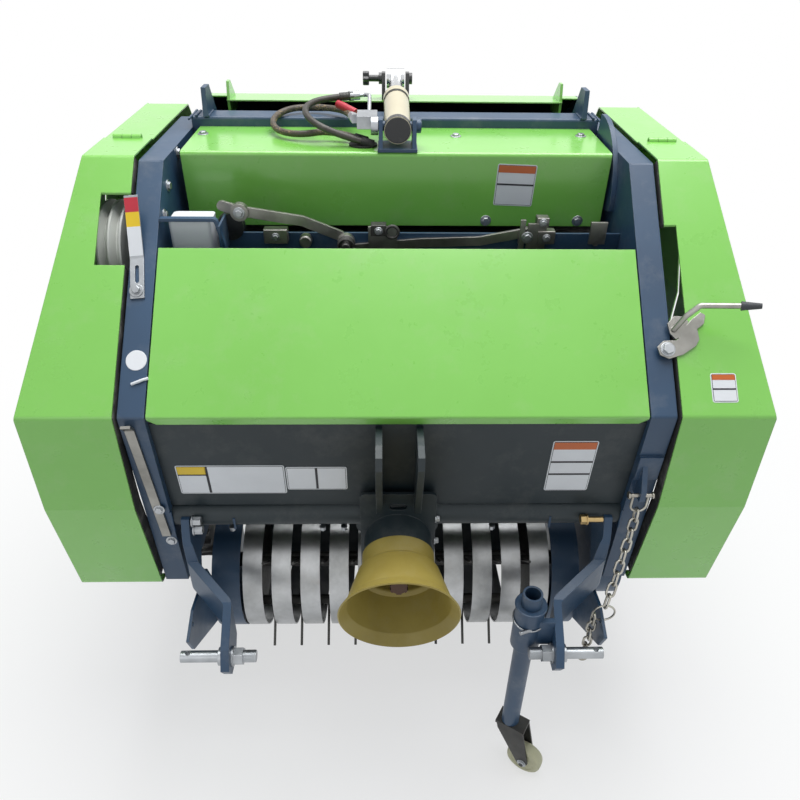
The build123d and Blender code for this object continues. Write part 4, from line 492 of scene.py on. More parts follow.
def arc(centre, radius, start, end, steps, across, along):
    """Points of an arc in the plane of two directions, its angles in degrees."""
    points = []
    for step in range(steps + 1):
        turn = math.radians(start + (end - start) * step / steps)
        x, y = radius * math.cos(turn), radius * math.sin(turn)
        points.append(centre + across * x + along * y)
    return points


# Places on the slope of the posts and covers

SLOPE_UP = Vector((0.0, BEND_BACK, TOP_Z - CREASE_Z)).normalized()
SLOPE_OUT = Vector((0.0, CREASE_Z - TOP_Z, BEND_BACK)).normalized()


def on_slope(x, back):
    return at(x, back, CREASE_Z + (TOP_Z - CREASE_Z) * back / BEND_BACK)


def plane(origin, across, up):
    """Matrix whose x runs across a face and y up it."""
    across = Vector(across).normalized()
    out = across.cross(Vector(up)).normalized()
    raised = out.cross(across)
    return Matrix.Translation(origin) @ Matrix((across, raised, out)).transposed().to_4x4()


# Hoses

HOSE_RADIUS = 0.0065


def add_hose(name, points, material, node):
    data = bpy.data.curves.new(name, "CURVE")
    data.dimensions = "3D"
    data.bevel_depth = HOSE_RADIUS
    data.bevel_resolution = 5
    data.resolution_u = 14
    data.use_fill_caps = True
    spline = data.splines.new("NURBS")
    spline.points.add(len(points) - 1)
    for target, place in zip(spline.points, points):
        target.co = (*place, 1.0)
    spline.order_u = 3
    spline.use_endpoint_u = True
    hose = add_piece(name, data, material, "frame")
    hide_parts(node)


HOSE_FRONT = (
    (-0.072, 0.000, 1.241), (-0.130, 0.000, 1.257), (-0.1787, 0.0367, 1.274),
    (-0.1893, 0.0968, 1.284), (-0.1552, 0.1473, 1.289), (-0.0986, 0.1604, 1.291),
)
HOSE_REAR = (
    (-0.084, 0.025, 1.241), (-0.1346, 0.0458, 1.250), (-0.194, 0.0343, 1.243),
    (-0.2468, 0.0648, 1.243), (-0.2626, 0.1237, 1.253), (-0.2321, 0.1765, 1.262),
    (-0.1732, 0.1923, 1.262), (-0.1204, 0.1618, 1.264), (-0.0979, 0.1062, 1.268),
    (-0.0882, 0.051, 1.274),
)
add_hose("hose_line_front", HOSE_FRONT, HOSE, "hose_front")
add_hose("hose_line_rear", HOSE_REAR, BRAID, "hose_rear")


# Small pieces, gathered by name, material and the body that they ride on

GROUPS = {}
RAY_REACH = 0.03
THREAD_STEP = 0.001
WELD_RADIUS, WELD_STEP, WELD_STRAY = 0.0026, 0.004, 0.0004


def group(name, material, body="frame"):
    return GROUPS.setdefault((name, material, body), Form())


def onto(node, near, axis):
    """The point of a CAD node's surface that is met from outside a place, along an axis."""
    axis = Vector(axis).normalized()
    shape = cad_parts[node]
    inward = shape.matrix_world.inverted()
    start = inward @ (Vector(near) + axis * RAY_REACH)
    hit, place, *_ = shape.ray_cast(start, inward.to_3x3() @ -axis, distance=2 * RAY_REACH)
    return shape.matrix_world @ place if hit else Vector(near)


def bolt(form, place, axis, across=0.013, height=0.0058, washer=0.0112, turn=0.3):
    """A hexagon head on its washer."""
    matrix = stand(place, axis, turn)
    form.lathe(((washer, -0.0008), (washer, 0.0011), (washer - 0.0006, 0.0016)), matrix, 22)
    form.slab(hexagon(across), 0.0012, height, matrix, 0.0008)


def nut(form, place, axis, across, height, end, radius, turn=0.2):
    """A nut on its washer with the threaded end through it."""
    matrix = stand(place, axis, turn)
    form.lathe(((across * 0.8, -0.0008), (across * 0.8, 0.0018)), matrix, 22)
    form.slab(hexagon(across), 0.0016, height, matrix, 0.001)
    thread = [(radius, height - 0.001)]
    for step in range(int(end / THREAD_STEP)):
        low = height + THREAD_STEP * step
        thread += [(radius - 0.0004, low), (radius, low + THREAD_STEP / 2)]
    form.lathe(thread + [(radius - 0.001, height + end)], matrix, 18)


def weld(form, start, end):
    """A bead of uneven width along a seam."""
    start, end = Vector(start), Vector(end)
    count = max(3, int((end - start).length / WELD_STEP))
    path = []
    for index in range(count + 1):
        stray = UP * random.uniform(-WELD_STRAY, WELD_STRAY)
        path.append(start.lerp(end, index / count) + stray)
    form.tube(path, WELD_RADIUS, 8, rough=0.16)


# Bolts that are set onto a node's surface: node, place and axis
SET_BOLTS = (
    ("upper_hood", (-0.401, 0.545, 1.230), UP),
    ("upper_hood", (0.1232, 0.540, 1.230), UP),
    ("upper_hood", (0.3868, 0.548, 1.230), UP),
    ("upper_hood", (0.1824, 0.418, 1.094), FRONT),
    ("upper_hood", (0.372, 0.418, 1.094), FRONT),
    ("side_frame_left", (-0.437, 0.364, 1.181), RIGHT),
    ("side_frame_left", (-0.437, 0.3115, 1.143), RIGHT),
    ("side_frame_left", (-0.437, 0.464, 1.215), RIGHT),
    ("side_lever", (-0.4538, 0.0, 0.679), FRONT),
    ("side_frame_left", (-0.449, 0.018, 0.585), FRONT),
)
# Bolts on the cross tube and the mast: place, axis, width, height, washer and turn
TUBE_BOLTS = (
    ((-0.394, -0.4535, 0.653), RIGHT, 0.016, 0.017, 0.0115, 0.2),
    ((-0.394, -0.4535, 0.630), RIGHT, 0.016, 0.017, 0.0115, 0.6),
    ((-0.326, -0.434, 0.6175), DOWN, 0.010, 0.009, 0.0062, 0.3),
    ((-0.148, -0.434, 0.6175), DOWN, 0.010, 0.009, 0.0062, 0.3),
    ((-0.106, -0.434, 0.6175), DOWN, 0.010, 0.009, 0.0062, 0.3),
    ((0.187, -0.434, 0.6175), DOWN, 0.010, 0.009, 0.0062, 0.3),
    ((0.0725, -0.4475, 0.650), RIGHT, 0.011, 0.008, 0.0078, 0.3),
    ((0.0725, -0.4475, 0.5905), RIGHT, 0.011, 0.008, 0.0078, 0.3),
)
YELLOW_BOLT = Vector((0.366, -0.4535, 0.652))
fasteners = group("fasteners_frame", ZINC)
for node, place, axis in SET_BOLTS:
    bolt(fasteners, onto(node, at(*place), axis), axis, turn=random.uniform(0, 1))
for row in TUBE_BOLTS:
    bolt(fasteners, *row)
yellow = group("fastener_yellow", BRASS)
bolt(yellow, YELLOW_BOLT, LEFT, 0.017, 0.013, 0.0110)
yellow.tube((YELLOW_BOLT, YELLOW_BOLT + RIGHT * 0.031), 0.0055, 14)

# Bearings of the rollers that show from outside

ROLLERS_CIRCLE = 0.305
PLATE_FACE = 0.454
BEARING_CIRCLE = 0.032
BEARING_CAP = ((0.019, -0.001), (0.019, 0.003), (0.017, 0.0045), (0.004, 0.005))
BEARINGS = (
    ("frame", (1,), (104, 134, 164, 194, 238, 268)),
    ("tailgate", (-1, 1), (74, 44, 14, -16, -46)),
)


def add_bearing(body, angle, side):
    """The four bolts of a bearing, and its cap on the tailgate."""
    turn = math.radians(angle)
    centre = ROLLERS + Vector((0, math.cos(turn), math.sin(turn))) * ROLLERS_CIRCLE
    out = Vector((side, 0, 0))
    face = centre + Vector((side * PLATE_FACE, 0, 0))
    for step, (back, up) in enumerate(circle(BEARING_CIRCLE, 4, math.pi / 4)):
        form = group("bearing_bolts_" + body, ZINC, body)
        bolt(form, face + Vector((0, back, up)), out, 0.010, 0.0048, 0.0078, turn + step)
    if body == "tailgate":
        group("bearing_caps_tailgate", BLACK, body).lathe(BEARING_CAP, stand(face, out), 28)


for body, sides, angles in BEARINGS:
    for angle in angles:
        for side in sides:
            add_bearing(body, angle, side)


# Chain with its shackle and ring

LINK_PITCH, LINK_PLAY = 0.0241, 0.00265
LINK_HALF, LINK_BEND, LINK_WIRE = 0.0067, 0.008, 0.0025
CHAIN_SLACK = 1.004
TAIL_LINKS = 6
TAIL_ANGLE = math.radians(215)
CHAIN_RING, CHAIN_RING_RADIUS = at(0.409, -0.080, 0.4759), 0.022
SHACKLE_JOINT, SHACKLE_BOTTOM = at(0.451, -0.013, 0.690), at(0.451, -0.013, 0.7045)
SHACKLE_RADIUS, SHACKLE_LEG = 0.0145, 0.0275
SHACKLE_PIN, PIN_LENGTH = at(0.431, -0.013, 0.730), 0.040


def chain_link(form, joint, heading, index):
    """One link of round wire bent to a long ring; returns the place of the next joint."""
    centre = joint + heading * LINK_PITCH / 2
    level = (RIGHT - heading * heading.x).normalized()
    normal = level if index % 2 == 0 else heading.cross(level)
    across = normal.cross(heading)
    path = arc(centre + heading * LINK_HALF, LINK_BEND, -90, 90, 8, heading, across)
    path += arc(centre - heading * LINK_HALF, LINK_BEND, 90, 270, 8, heading, across)
    form.tube(path, LINK_WIRE, 10, closed=True)
    return joint + heading * LINK_PITCH


def make_chain():
    """The chain sags from the shackle to the ring, and its tail hangs from the ring."""
    form = Form()
    chord = CHAIN_RING + UP * CHAIN_RING_RADIUS - SHACKLE_JOINT
    reach = chord.length + 2 * LINK_PLAY
    along = chord.normalized()
    count = 2 * math.ceil((CHAIN_SLACK * reach / LINK_PITCH - 1) / 2) + 1
    middle = count // 2
    squares = middle * (middle + 1) * (2 * middle + 1) / 6
    step = math.sqrt((count - reach / LINK_PITCH) / squares)
    level = along.cross(UP).normalized()
    joint = SHACKLE_JOINT - along * LINK_PLAY
    for index in range(count):
        heading = Matrix.Rotation(step * (index - middle), 3, level) @ along
        joint = chain_link(form, joint, heading, index)
    hang = Vector((math.cos(TAIL_ANGLE), 0, math.sin(TAIL_ANGLE))) * CHAIN_RING_RADIUS
    joint = CHAIN_RING + hang + UP * 0.0075
    for index in range(TAIL_LINKS):
        joint = chain_link(form, joint, DOWN, index)
    form.tube(arc(CHAIN_RING, CHAIN_RING_RADIUS, 0, 348, 29, RIGHT, UP), 0.002, 10, closed=True)
    pin_end = SHACKLE_PIN + RIGHT * PIN_LENGTH
    form.tube((SHACKLE_PIN, pin_end), 0.004, 14)
    form.slab(circle(0.0075, 6), 0.0, 0.005, stand(SHACKLE_PIN, LEFT), 0.0008)
    form.lathe(((0.0065, 0.0), (0.0065, 0.003)), stand(pin_end, RIGHT), 16)
    bow = [SHACKLE_BOTTOM + Vector((SHACKLE_RADIUS, 0, SHACKLE_LEG))]
    bow += arc(SHACKLE_BOTTOM, SHACKLE_RADIUS, 0, -180, 14, RIGHT, UP)
    bow += [SHACKLE_BOTTOM + Vector((-SHACKLE_RADIUS, 0, SHACKLE_LEG))]
    form.tube(bow, LINK_WIRE, 10)
    chain = piece("chain_links", form, CHAIN_STEEL)
    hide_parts("safety_chain")


make_chain()


# Blank labels: a white film, a dark line inside its rim, the pale face and its fields

LABEL_RIM = 0.0056
LABEL_LAYERS = (
    ("base", WHITE, 0.0, 0.0005), ("line", INK, 0.0040, 0.0008), ("face", WHITE, LABEL_RIM, 0.0011),
)
PANEL_Z, PANEL_LEAN, PANEL_HEIGHT = 0.880, 0.018, 0.210
PANEL_UP = (0.0, -PANEL_LEAN, PANEL_HEIGHT)


def label(name, centre, up, size, fields, across=RIGHT, body="frame"):
    """Each field is its material, middle and size, as shares of the face."""
    matrix = plane(centre, across, up)
    width, height = size
    for part, material, less, rise in LABEL_LAYERS:
        shape = rectangle(width - less, height - less, max(0.001, 0.004 - less / 2))
        group(name + "_" + part, material, body).slab(shape, -0.0012, rise, matrix)
    width, height = width - LABEL_RIM, height - LABEL_RIM
    for material, x, y, wide, high in fields:
        place = matrix @ Matrix.Translation((x * width, y * height, 0))
        field = group(name + "_field_" + material.name.split("_")[0], material, body)
        field.slab(rectangle(wide * width, high * height), 0.0, 0.0014, place)


# Labels of the front panel: x and height, size, fields
PANEL_LABELS = (
    ((-0.3114, 0.7400), (0.200, 0.0744), (
        (YELLOW, -0.365, 0.355, 0.27, 0.29), (INK, -0.225, 0, 0.024, 1.0),
        (INK, -0.36, 0.20, 0.28, 0.055))),
    ((-0.1529, 0.7427), (0.113, 0.060), ((INK, 0.0, 0.0, 0.042, 1.0),)),
    ((0.3200, 0.7719), (0.083, 0.1288), (
        (ORANGE, 0.0, 0.43, 1.0, 0.14), (INK, 0.0, 0.10, 1.0, 0.035),
        (INK, 0.0, -0.16, 1.0, 0.035))),
)
HOOD_FIELDS = ((ORANGE, 0.0, 0.41, 1.0, 0.18), (INK, 0.0, 0.02, 1.0, 0.045))
COVER_FIELDS = ((ORANGE, 0.0, 0.40, 1.0, 0.20), (INK, 0.0, -0.05, 1.0, 0.06))
COVER_SLOPE = math.radians(42.12)
COVER_UP = (0, math.cos(COVER_SLOPE), math.sin(COVER_SLOPE))
COVER_OUT = (0, -math.sin(COVER_SLOPE), math.cos(COVER_SLOPE))
for (x, z), size, fields in PANEL_LABELS:
    near = at(x, 0.012 + PANEL_LEAN * (PANEL_Z - z) / PANEL_HEIGHT, z)
    label("labels", onto("front_panel", near, FRONT), PANEL_UP, size, fields)
label("labels", onto("upper_hood", at(0.2353, 0.418, 1.1672), FRONT), (0, -0.02, 1),
      (0.0785, 0.0838), HOOD_FIELDS, across=(0.999, 0, -0.035))
label("label_cover", onto("cover_door_right", at(0.5665, 0.0332, 0.9397), COVER_OUT), COVER_UP,
      (0.0456, 0.0527), COVER_FIELDS, body="cover_right")

# White button and hook on the left post

POST_BADGE = ((0.0183, -0.001), (0.0183, 0.0006), (0.0178, 0.001))
POST_HOOK = (
    (-0.4623, 0.0447, 0.9402), (-0.452, 0.046, 0.944),
    (-0.443, 0.049, 0.9465), (-0.434, 0.0526, 0.9473),
)
post_spot = onto("side_frame_left", at(-0.4574, 0.0768, 0.969), SLOPE_OUT)
group("post_badge", WHITE).lathe(POST_BADGE, stand(post_spot, SLOPE_OUT), 36)
group("post_hook", WHITE).tube([at(*p) + SLOPE_OUT * 0.001 for p in POST_HOOK], 0.0028, 10)

# Coloured bands of the density indicator, from its tip down

INDICATOR_X = -0.4632
INDICATOR_BANDS = (
    ("indicator_red", RED, 0.004, 0.030),
    ("indicator_yellow", YELLOW, 0.030, 0.056),
    ("indicator_white", WHITE, 0.056, 0.108),
)


def make_indicator():
    pivot = on_slope(INDICATOR_X, 0.161)
    leant = Matrix.Rotation(math.radians(5), 4, SLOPE_OUT)
    turned = Matrix.Translation(pivot) @ leant @ Matrix.Translation(-pivot)
    base = on_slope(INDICATOR_X, 0.218)
    up = Vector((0, 0.061, 0.095))
    length = up.length
    out = Vector((0, -up.z, up.y)).normalized()
    up.normalize()
    for name, material, start, end in INDICATOR_BANDS:
        middle = base + up * (length - (start + end) / 2) + out * 0.004
        matrix = turned @ plane(middle, RIGHT, up)
        group(name, material).slab(rectangle(0.0240, end - start, 0.001), -0.0015, 0.0008, matrix)
    foot = onto("indicator_bar", on_slope(-0.466, 0.172), SLOPE_OUT)
    bolt(fasteners, foot, SLOPE_OUT, 0.013, 0.0062, 0.0125)


make_indicator()

# Pivot bolt of the latch, in the round end of its plate

latch_foot = onto("latch_lever", at(0.472, 0.0, CREASE_Z) + SLOPE_UP * 0.120, SLOPE_OUT)
latch_bolt = group("fastener_latch", ZINC, "cover_right")
bolt(latch_bolt, latch_foot, SLOPE_OUT, 0.018, 0.0085, 0.0135)

# Cylinder and the tailgate's knob

CYLINDER = Vector((0.0, -0.007, 1.272))
STROKE = Vector((0.0, 0.995946, 0.089956))
GLAND = CYLINDER + STROKE * 0.146
CYLINDER_CAP = ((0.0235, -0.0270), (0.0266, -0.0245), (0.0266, -0.0120), (0.0250, -0.0100))
GLAND_RING = ((0.0268, 0.0), (0.0272, 0.001), (0.0272, 0.004), (0.0268, 0.005))
KNOB_PLACE = Vector((-0.060, 0.303, 1.300))
KNOB_RADIUS, KNOB_LOBE, KNOB_LOBES, KNOB_STEPS = 0.0135, 0.0022, 6, 60

group("cylinder_cap", BLACK, "cylinder_barrel").lathe(CYLINDER_CAP, stand(CYLINDER, STROKE), 36)
for low in (-0.012, -0.004):
    ring = [(radius, low + height) for radius, height in GLAND_RING]
    group("cylinder_gland", DARK_STEEL, "cylinder_barrel").lathe(ring, stand(GLAND, STROKE), 36)
knob = []
for step in range(KNOB_STEPS):
    turn = 2 * math.pi * step / KNOB_STEPS
    reach = KNOB_RADIUS + KNOB_LOBE * math.cos(KNOB_LOBES * turn)
    knob.append((reach * math.cos(turn), reach * math.sin(turn)))
group("lug_knob", BLACK, "tailgate").slab(knob, 0.0, 0.014, stand(KNOB_PLACE, LEFT), 0.0015)

# Elbow and ends of the hoses

ELBOW = (
    (-0.123, 0.143, 1.2787), (-0.112, 0.131, 1.2770),
    (-0.099, 0.117, 1.2738), (-0.084, 0.103, 1.270),
)
FERRULE = (
    (0.0068, 0.002), (0.0082, 0.003), (0.0082, 0.008), (0.0076, 0.0086), (0.0082, 0.0092),
    (0.0082, 0.0150), (0.0076, 0.0156), (0.0082, 0.0162), (0.0082, 0.0215), (0.0068, 0.0225),
)
group("elbow_cap", RED).tube(ELBOW, 0.0082, 16)
for name, material, hose in (("front", DARK_STEEL, HOSE_FRONT), ("rear", ZINC, HOSE_REAR)):
    matrix = stand(hose[-1], Vector(hose[-2]) - Vector(hose[-1]))
    group("hose_ferrule_" + name, material).lathe(FERRULE, matrix, 24)
    group("hose_nut_" + name, material).slab(circle(0.0098, 6), -0.008, 0.003, matrix, 0.0009)

# Twine gear

SPRING = Vector((-0.100, -0.136, 1.084))
SPRING_RADIUS, SPRING_LENGTH, SPRING_TURNS, SPRING_STEPS = 0.0150, 0.020, 4, 24
SPRING_END = [(-0.085, -0.156, 1.070), (-0.083, -0.150, 1.058)]
SPRING_POST = ((0.0085, 0.0), (0.0085, 0.024), (0.0075, 0.026))
KNIFE = Vector((-0.011, -0.142, 1.110))
TWINE_PLATES = (
    ("twine_blocks", DARK_STEEL, (-0.037, -0.126, 1.112), (0.030, 0.022)),
    ("twine_clamps", BARE_STEEL, (-0.234, -0.128, 1.100), (0.046, 0.028)),
    ("twine_clamps", BARE_STEEL, (0.287, -0.128, 1.100), (0.034, 0.026)),
    ("twine_clamps", BARE_STEEL, (0.278, -0.124, 1.129), (0.024, 0.018)),
)
TWINE_DRUM = (
    (0.010, -0.004), (0.026, -0.003), (0.026, 0.003), (0.023, 0.005),
    (0.023, 0.010), (0.026, 0.012), (0.026, 0.016), (0.008, 0.017),
)
TWINE_DISC = ((0.012, -0.006), (0.012, 0.012), (0.010, 0.014))

coil = []
for step in range(SPRING_TURNS * SPRING_STEPS + 1):
    turn = 2 * math.pi * step / SPRING_STEPS
    forward = SPRING_LENGTH * step / (SPRING_TURNS * SPRING_STEPS)
    coil.append(SPRING + Vector((
        SPRING_RADIUS * math.cos(turn), -forward, SPRING_RADIUS * math.sin(turn))))
group("twine_spring", DARK_STEEL).tube(coil + SPRING_END, 0.0016, 8)
spring_foot = stand((-0.100, -0.134, 1.084), FRONT)
group("twine_spring", DARK_STEEL).lathe(SPRING_POST, spring_foot, 20)
knife = arc(KNIFE, 0.012, 0, 345, 23, RIGHT, UP)
group("twine_knife", DARK_STEEL).tube(knife, 0.003, 10, closed=True)
for name, material, place, size in TWINE_PLATES:
    group(name, material).slab(rectangle(*size, 0.002), -0.004, 0.016, stand(place, FRONT), 0.001)
    bolt(fasteners, Vector(place) + FRONT * 0.0165, FRONT, 0.010, 0.005, 0.008)
group("twine_drum", BLACK).lathe(TWINE_DRUM, stand((-0.322, -0.110, 1.112), FRONT), 36)
group("twine_disc", BARE_STEEL).lathe(TWINE_DISC, stand((-0.178, -0.130, 1.089), FRONT), 28)
for x, z in ((-0.300, 1.144), (0.250, 1.100)):
    bolt(fasteners, onto("twine_arms", (x, -0.136, z), FRONT), FRONT, 0.013, 0.006, 0.0112)

# Rubber edging of the covers, left out along their windows

EDGING_NEAR, EDGING_FAR, EDGING_LAP = 0.4868, 0.4935, 0.0008
EDGING_WIDE, EDGING_NARROW = 0.026, 0.013
WINDOWS = ((-1, "cover_left", 0.198, 0.309), (1, "cover_right", 0.122, 0.265))


def cover_line(back):
    """Distance and height of a place on the covers' inner edge, above the crease."""
    return (back, 0.903 + 0.331 * (back + 0.003) / 0.366)


def make_edging(side, body, window_low, window_high):
    lower = (
        ((0.018, 0.486), EDGING_WIDE), ((-0.0108, 0.700), EDGING_WIDE),
        (cover_line(-0.003), 0.020), (cover_line(window_low), EDGING_NARROW),
    )
    upper = ((cover_line(window_high), EDGING_NARROW), (cover_line(0.362), EDGING_NARROW))
    near, far = Vector((side * EDGING_NEAR, 0, 0)), Vector((side * EDGING_FAR, 0, 0))
    for run in (lower, upper):
        rings = []
        for index, ((back, z), depth) in enumerate(run):
            before, after = run[max(0, index - 1)][0], run[min(len(run) - 1, index + 1)][0]
            along = Vector((0, after[0] - before[0], after[1] - before[1])).normalized()
            inward = Vector((0, along.z, -along.y))
            low, high = at(0, back, z) - inward * EDGING_LAP, at(0, back, z) + inward * depth
            rings.append((low + near, low + far, high + far, high + near))
        group("edging_" + body, RUBBER, body).skin(rings)


for row in WINDOWS:
    make_edging(*row)

# Rear sheet of the pickup, between the reel and the bands, in the darker copy of the slate: a dark
# sheet that gives the gap between the bands painted shade

REEL = at(0, 0.200, 0.330)
SHEET_INNER, SHEET_OUTER = 0.1515, 0.1535
SHEET_HALF = Vector((0.345, 0, 0))
rings = []
for angle in range(-50, 41, 5):
    turn = math.radians(angle)
    out = Vector((0, math.cos(turn), math.sin(turn)))
    low, high = REEL + out * SHEET_INNER, REEL + out * SHEET_OUTER
    rings.append((low - SHEET_HALF, low + SHEET_HALF, high + SHEET_HALF, high - SHEET_HALF))
group("pickup_sheet", SLATE_SHADED).skin(rings)

# Bolts along the tailgate's skin, on two of its flats

SKIN_LINES = (((1.006, 1.140), (1.098, 0.930)), ((1.098, 0.660), (1.006, 0.480)))
SKIN_BOLT_X = 0.419
for (back, z), (next_back, next_z) in SKIN_LINES:
    along = Vector((0, next_back - back, next_z - z)).normalized()
    out = Vector((0, -along.z, along.y))
    for share in (0.22, 0.78):
        for x in (-SKIN_BOLT_X, SKIN_BOLT_X):
            near = at(x, back + (next_back - back) * share, z + (next_z - z) * share)
            foot = onto("tailgate_skin", near, out)
            bolt(group("skin_bolts", ZINC, "tailgate"), foot, out, 0.010, 0.0046, 0.0085)

# Threads of the hitch pins

PIN_THREADS, PIN_PITCH = 15, 0.0016
thread = [(0.0102, 0.0002)]
for step in range(PIN_THREADS):
    thread += [(0.0110, 0.0006 + PIN_PITCH * step), (0.0118, 0.0014 + PIN_PITCH * step)]
thread.append((0.0110, 0.0252))
for side, start in ((-1, 0.2712), (1, 0.2512)):
    matrix = stand((side * start, -0.607, 0.447), (side, 0, 0))
    group("pin_threads", ZINC).lathe(thread, matrix, 24)

# Wire clip and weld of the jack's sleeve

SLEEVE = Vector((0.252, -0.565, 0.0))
CLIP_RADIUS, CLIP_RISE = 0.0303, 0.003
clip = []
for x, y in circle(CLIP_RADIUS, 40):
    clip.append(SLEEVE + Vector((x, y, 0.500 + CLIP_RISE * y / CLIP_RADIUS)))
group("jack_clip", ZINC).tube(clip, 0.0016, 8, closed=True)
clip_pin = (SLEEVE + Vector((-0.022, -0.034, 0.497)), SLEEVE + Vector((0.0, -0.026, 0.497)))
group("jack_clip", ZINC).tube(clip_pin, 0.004, 12)
collar = [SLEEVE + Vector((x, y, 0.5385)) for x, y in circle(0.0288, 60)]
group("jack_welds", SLATE).tube(collar, 0.0022, 8, closed=True, rough=0.12)

# Castor wheel with a crowned tread and its nuts

CASTOR = Vector((0.292706, -0.590436, 0.040))
CASTOR_AXIS = Vector((-0.529919, -0.848048, 0.0))
CASTOR_FACE = 0.0194
CASTOR_HALF = [
    (0.0056, -0.014), (0.0120, -0.014), (0.0132, -0.0128), (0.0270, -0.0128), (0.0285, -0.0140),
    (0.0350, -0.0138), (0.0380, -0.0120), (0.0394, -0.0085), (0.0400, -0.0030),
]
castor_form = Form().lathe(mirrored(CASTOR_HALF), stand(CASTOR, CASTOR_AXIS), 64, closed=True)
castor = piece("castor_roll", castor_form, NYLON, "castor_wheel")
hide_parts("castor_wheel")
for side in (-1, 1):
    place = CASTOR + CASTOR_AXIS * (side * CASTOR_FACE)
    form = group("castor_nuts", ZINC, "castor_fork")
    nut(form, place, CASTOR_AXIS * side, 0.013, 0.0050, 0.001, 0.0048)

# Wheels

WHEEL_X, WHEEL_BACK, WHEEL_Z = 0.5495, 0.143, 0.200
TYRE_HALF = [
    (0.1080, -0.0375), (0.1105, -0.0415), (0.1160, -0.0432), (0.1185, -0.0450), (0.1215, -0.0450),
    (0.1240, -0.0462), (0.1450, -0.0474), (0.1500, -0.0466), (0.1530, -0.0472), (0.1680, -0.0462),
    (0.1790, -0.0420), (0.1868, -0.0350), (0.1905, -0.0250), (0.1925, -0.0120),
]
TYRE_CROWN = [(0.1930, 0.0)]
LUG = (
    (0.0005, -0.0105), (0.0005, 0.0015), (0.0250, 0.0085),
    (0.0405, 0.0100), (0.0405, 0.0), (0.0250, -0.0020),
)
LUGS = 30
LUG_LOW, LUG_HIGH = 0.1840, 0.1990
VALVE = ((0.0045, 0), (0.0040, 0.010), (0.0030, 0.012), (0.0030, 0.024), (0.0022, 0.025))


def make_wheel(side, name):
    """Tyre with lugs in two rows, wheel nuts, valve and the nut of the stub axle."""
    body = "wheel_" + name
    out = (side, 0, 0)
    matrix = stand((side * WHEEL_X, WHEEL_BACK, WHEEL_Z), out)
    form = Form()
    form.lathe(mirrored(TYRE_HALF, TYRE_CROWN), matrix, 72, closed=True)
    outward = Matrix(((0, 0, 1, 0), (0, 1, 0, 0), (1, 0, 0, 0), (0, 0, 0, 1)))
    for step in range(LUGS):
        for hand in (-1, 1):
            turn = 2 * math.pi * (step + (0.5 if hand > 0 else 0)) / LUGS
            lug = [(hand * x, y) for x, y in LUG][::hand]
            turned = matrix @ Matrix.Rotation(turn, 4, "Z") @ outward
            form.slab(lug, LUG_LOW, LUG_HIGH, turned, 0.0012)
    tyre = piece("tread_" + name, form, RUBBER, body)
    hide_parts("tyre_" + name)
    for step, (x, y) in enumerate(circle(0.055, 5)):
        place = matrix @ Vector((x, y, 0.0038))
        nut(group("wheel_nuts_" + name, ZINC, body), place, out, 0.016, 0.0085, 0.004, 0.005, step)
    valve = matrix @ Vector((0.0815, 0, 0.003))
    group("wheel_valve_" + name, BLACK, body).lathe(VALVE, stand(valve, out), 16)
    axle_end = (side * 0.5828, WHEEL_BACK, WHEEL_Z)
    nut(group("fasteners_axle", ZINC), axle_end, out, 0.030, 0.0080, 0.003, 0.0095)


make_wheel(-1, "left")
make_wheel(1, "right")

# Weld seams of the cross tube and the top beam

seams = group("welds_frame", SLATE)
for x in (-0.4365, 0.4365):
    weld(seams, (x, -0.4425, 0.6175), (x, -0.4425, 0.6665))
    weld(seams, (x, 0.128, 1.2495), (x, 0.210, 1.2495))
for x, low in ((-0.417, 0.566), (-0.318, 0.620), (0.298, 0.620), (0.417, 0.566)):
    weld(seams, (x, -0.4415, low), (x, -0.4415, 0.648))
for x in (-0.426, -0.400, 0.400, 0.426):
    weld(seams, (x, 0.150, 1.2508), (x, 0.200, 1.2508))

for (name, material, body), form in GROUPS.items():
    piece(name, form, material, body)


# Floor, backdrop and light

FLOOR_HALF = 30.0
FLOOR_DARK, FLOOR_PALE = (0.87, 0.87, 0.87, 1.0), (0.90, 0.90, 0.90, 1.0)
PURE_WHITE = (1.0, 1.0, 1.0, 1.0)
SKY = (0.86, 0.93, 1.0, 1.0)
SKY_STRENGTH = 0.36
# The floor's own white, seen but not lighting: its share at two distances from the middle
WHITE_FROM, WHITE_TO = (0.6, 0.6), (2.0, 1.0)


def seen_directly(tree):
    """1 for camera, glossy and transmission rays."""
    path = tree.nodes.new("ShaderNodeLightPath")
    source = path.outputs["Is Camera Ray"]
    for name in ("Is Glossy Ray", "Is Transmission Ray"):
        either = tree.nodes.new("ShaderNodeMath")
        either.operation = "MAXIMUM"
        tree.links.new(source, either.inputs[0])
        tree.links.new(path.outputs[name], either.inputs[1])
        source = either.outputs[0]
    return source


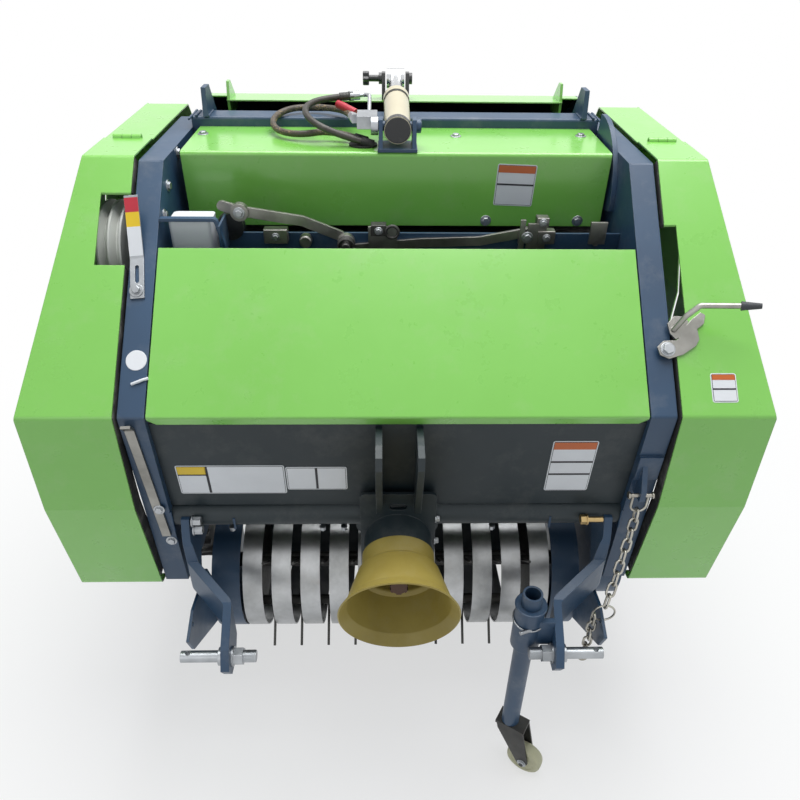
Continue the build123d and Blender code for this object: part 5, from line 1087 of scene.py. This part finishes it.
def make_floor():
    """Pale floor that keeps the shadow near the object and is plain white further off."""
    mesh = bpy.data.meshes.new("studio_floor")
    form = bmesh.new()
    bmesh.ops.create_grid(form, x_segments=1, y_segments=1, size=FLOOR_HALF)
    form.to_mesh(mesh)
    form.free()
    floor = bpy.data.objects.new("studio_floor", mesh)
    bpy.context.collection.objects.link(floor)
    n = Nodes("studio_floor")
    tone = n.ramp(n.noise(0.6, 3.0), ((0.3, FLOOR_DARK), (0.7, FLOOR_PALE)))
    n.join(tone, n.shader.inputs["Base Color"])
    n.join(n.spread(n.noise(5.0), 0.8, 0.95), n.shader.inputs["Roughness"])
    away = n.add("ShaderNodeVectorMath", operation="LENGTH")
    n.join(n.place.outputs["Object"], away.inputs[0])
    share = n.add("ShaderNodeMapRange", interpolation_type="SMOOTHSTEP")
    for end, (distance, amount) in (("Min", WHITE_FROM), ("Max", WHITE_TO)):
        share.inputs["From " + end].default_value = distance
        share.inputs["To " + end].default_value = amount
    n.join(away.outputs["Value"], share.inputs["Value"])
    white = n.add("ShaderNodeEmission")
    white.inputs["Color"].default_value = PURE_WHITE
    seen = n.add("ShaderNodeMath", operation="MULTIPLY")
    n.join(share.outputs["Result"], seen.inputs[0])
    n.join(seen_directly(n.tree), seen.inputs[1])
    mix = n.add("ShaderNodeMixShader")
    n.join(seen.outputs[0], mix.inputs["Fac"])
    n.join(n.shader.outputs[0], mix.inputs[1])
    n.join(white.outputs[0], mix.inputs[2])
    n.join(mix.outputs[0], n.tree.nodes["Material Output"].inputs["Surface"])
    mesh.materials.append(n.material)


def make_world():
    """White to the eye, a pale sky as light."""
    world = bpy.data.worlds.new("studio_world")
    bpy.context.scene.world = world
    world.use_nodes = True
    tree = world.node_tree
    tree.nodes.clear()
    output = tree.nodes.new("ShaderNodeOutputWorld")
    shown = tree.nodes.new("ShaderNodeBackground")
    shown.inputs["Color"].default_value = PURE_WHITE
    lit = tree.nodes.new("ShaderNodeBackground")
    lit.inputs["Color"].default_value = SKY
    lit.inputs["Strength"].default_value = SKY_STRENGTH
    mix = tree.nodes.new("ShaderNodeMixShader")
    tree.links.new(seen_directly(tree), mix.inputs["Fac"])
    tree.links.new(lit.outputs[0], mix.inputs[1])
    tree.links.new(shown.outputs[0], mix.inputs[2])
    tree.links.new(mix.outputs[0], output.inputs["Surface"])


def add_area(name, place, target, size, power):
    data = bpy.data.lights.new(name, "AREA")
    data.shape = "DISK"
    data.size = size
    data.energy = power
    lamp = bpy.data.objects.new(name, data)
    bpy.context.collection.objects.link(lamp)
    lamp.location = place
    lamp.rotation_euler = (Vector(target) - Vector(place)).to_track_quat("-Z", "Y").to_euler()


make_floor()
make_world()
add_area("top_softbox", (0.3, 0.6, 4.2), (0, 0, 0.8), 3.6, 172)
add_area("front_fill", (-1.6, -3.6, 2.4), (0, 0, 0.7), 2.2, 9)
bpy.context.scene.view_settings.view_transform = "Standard"
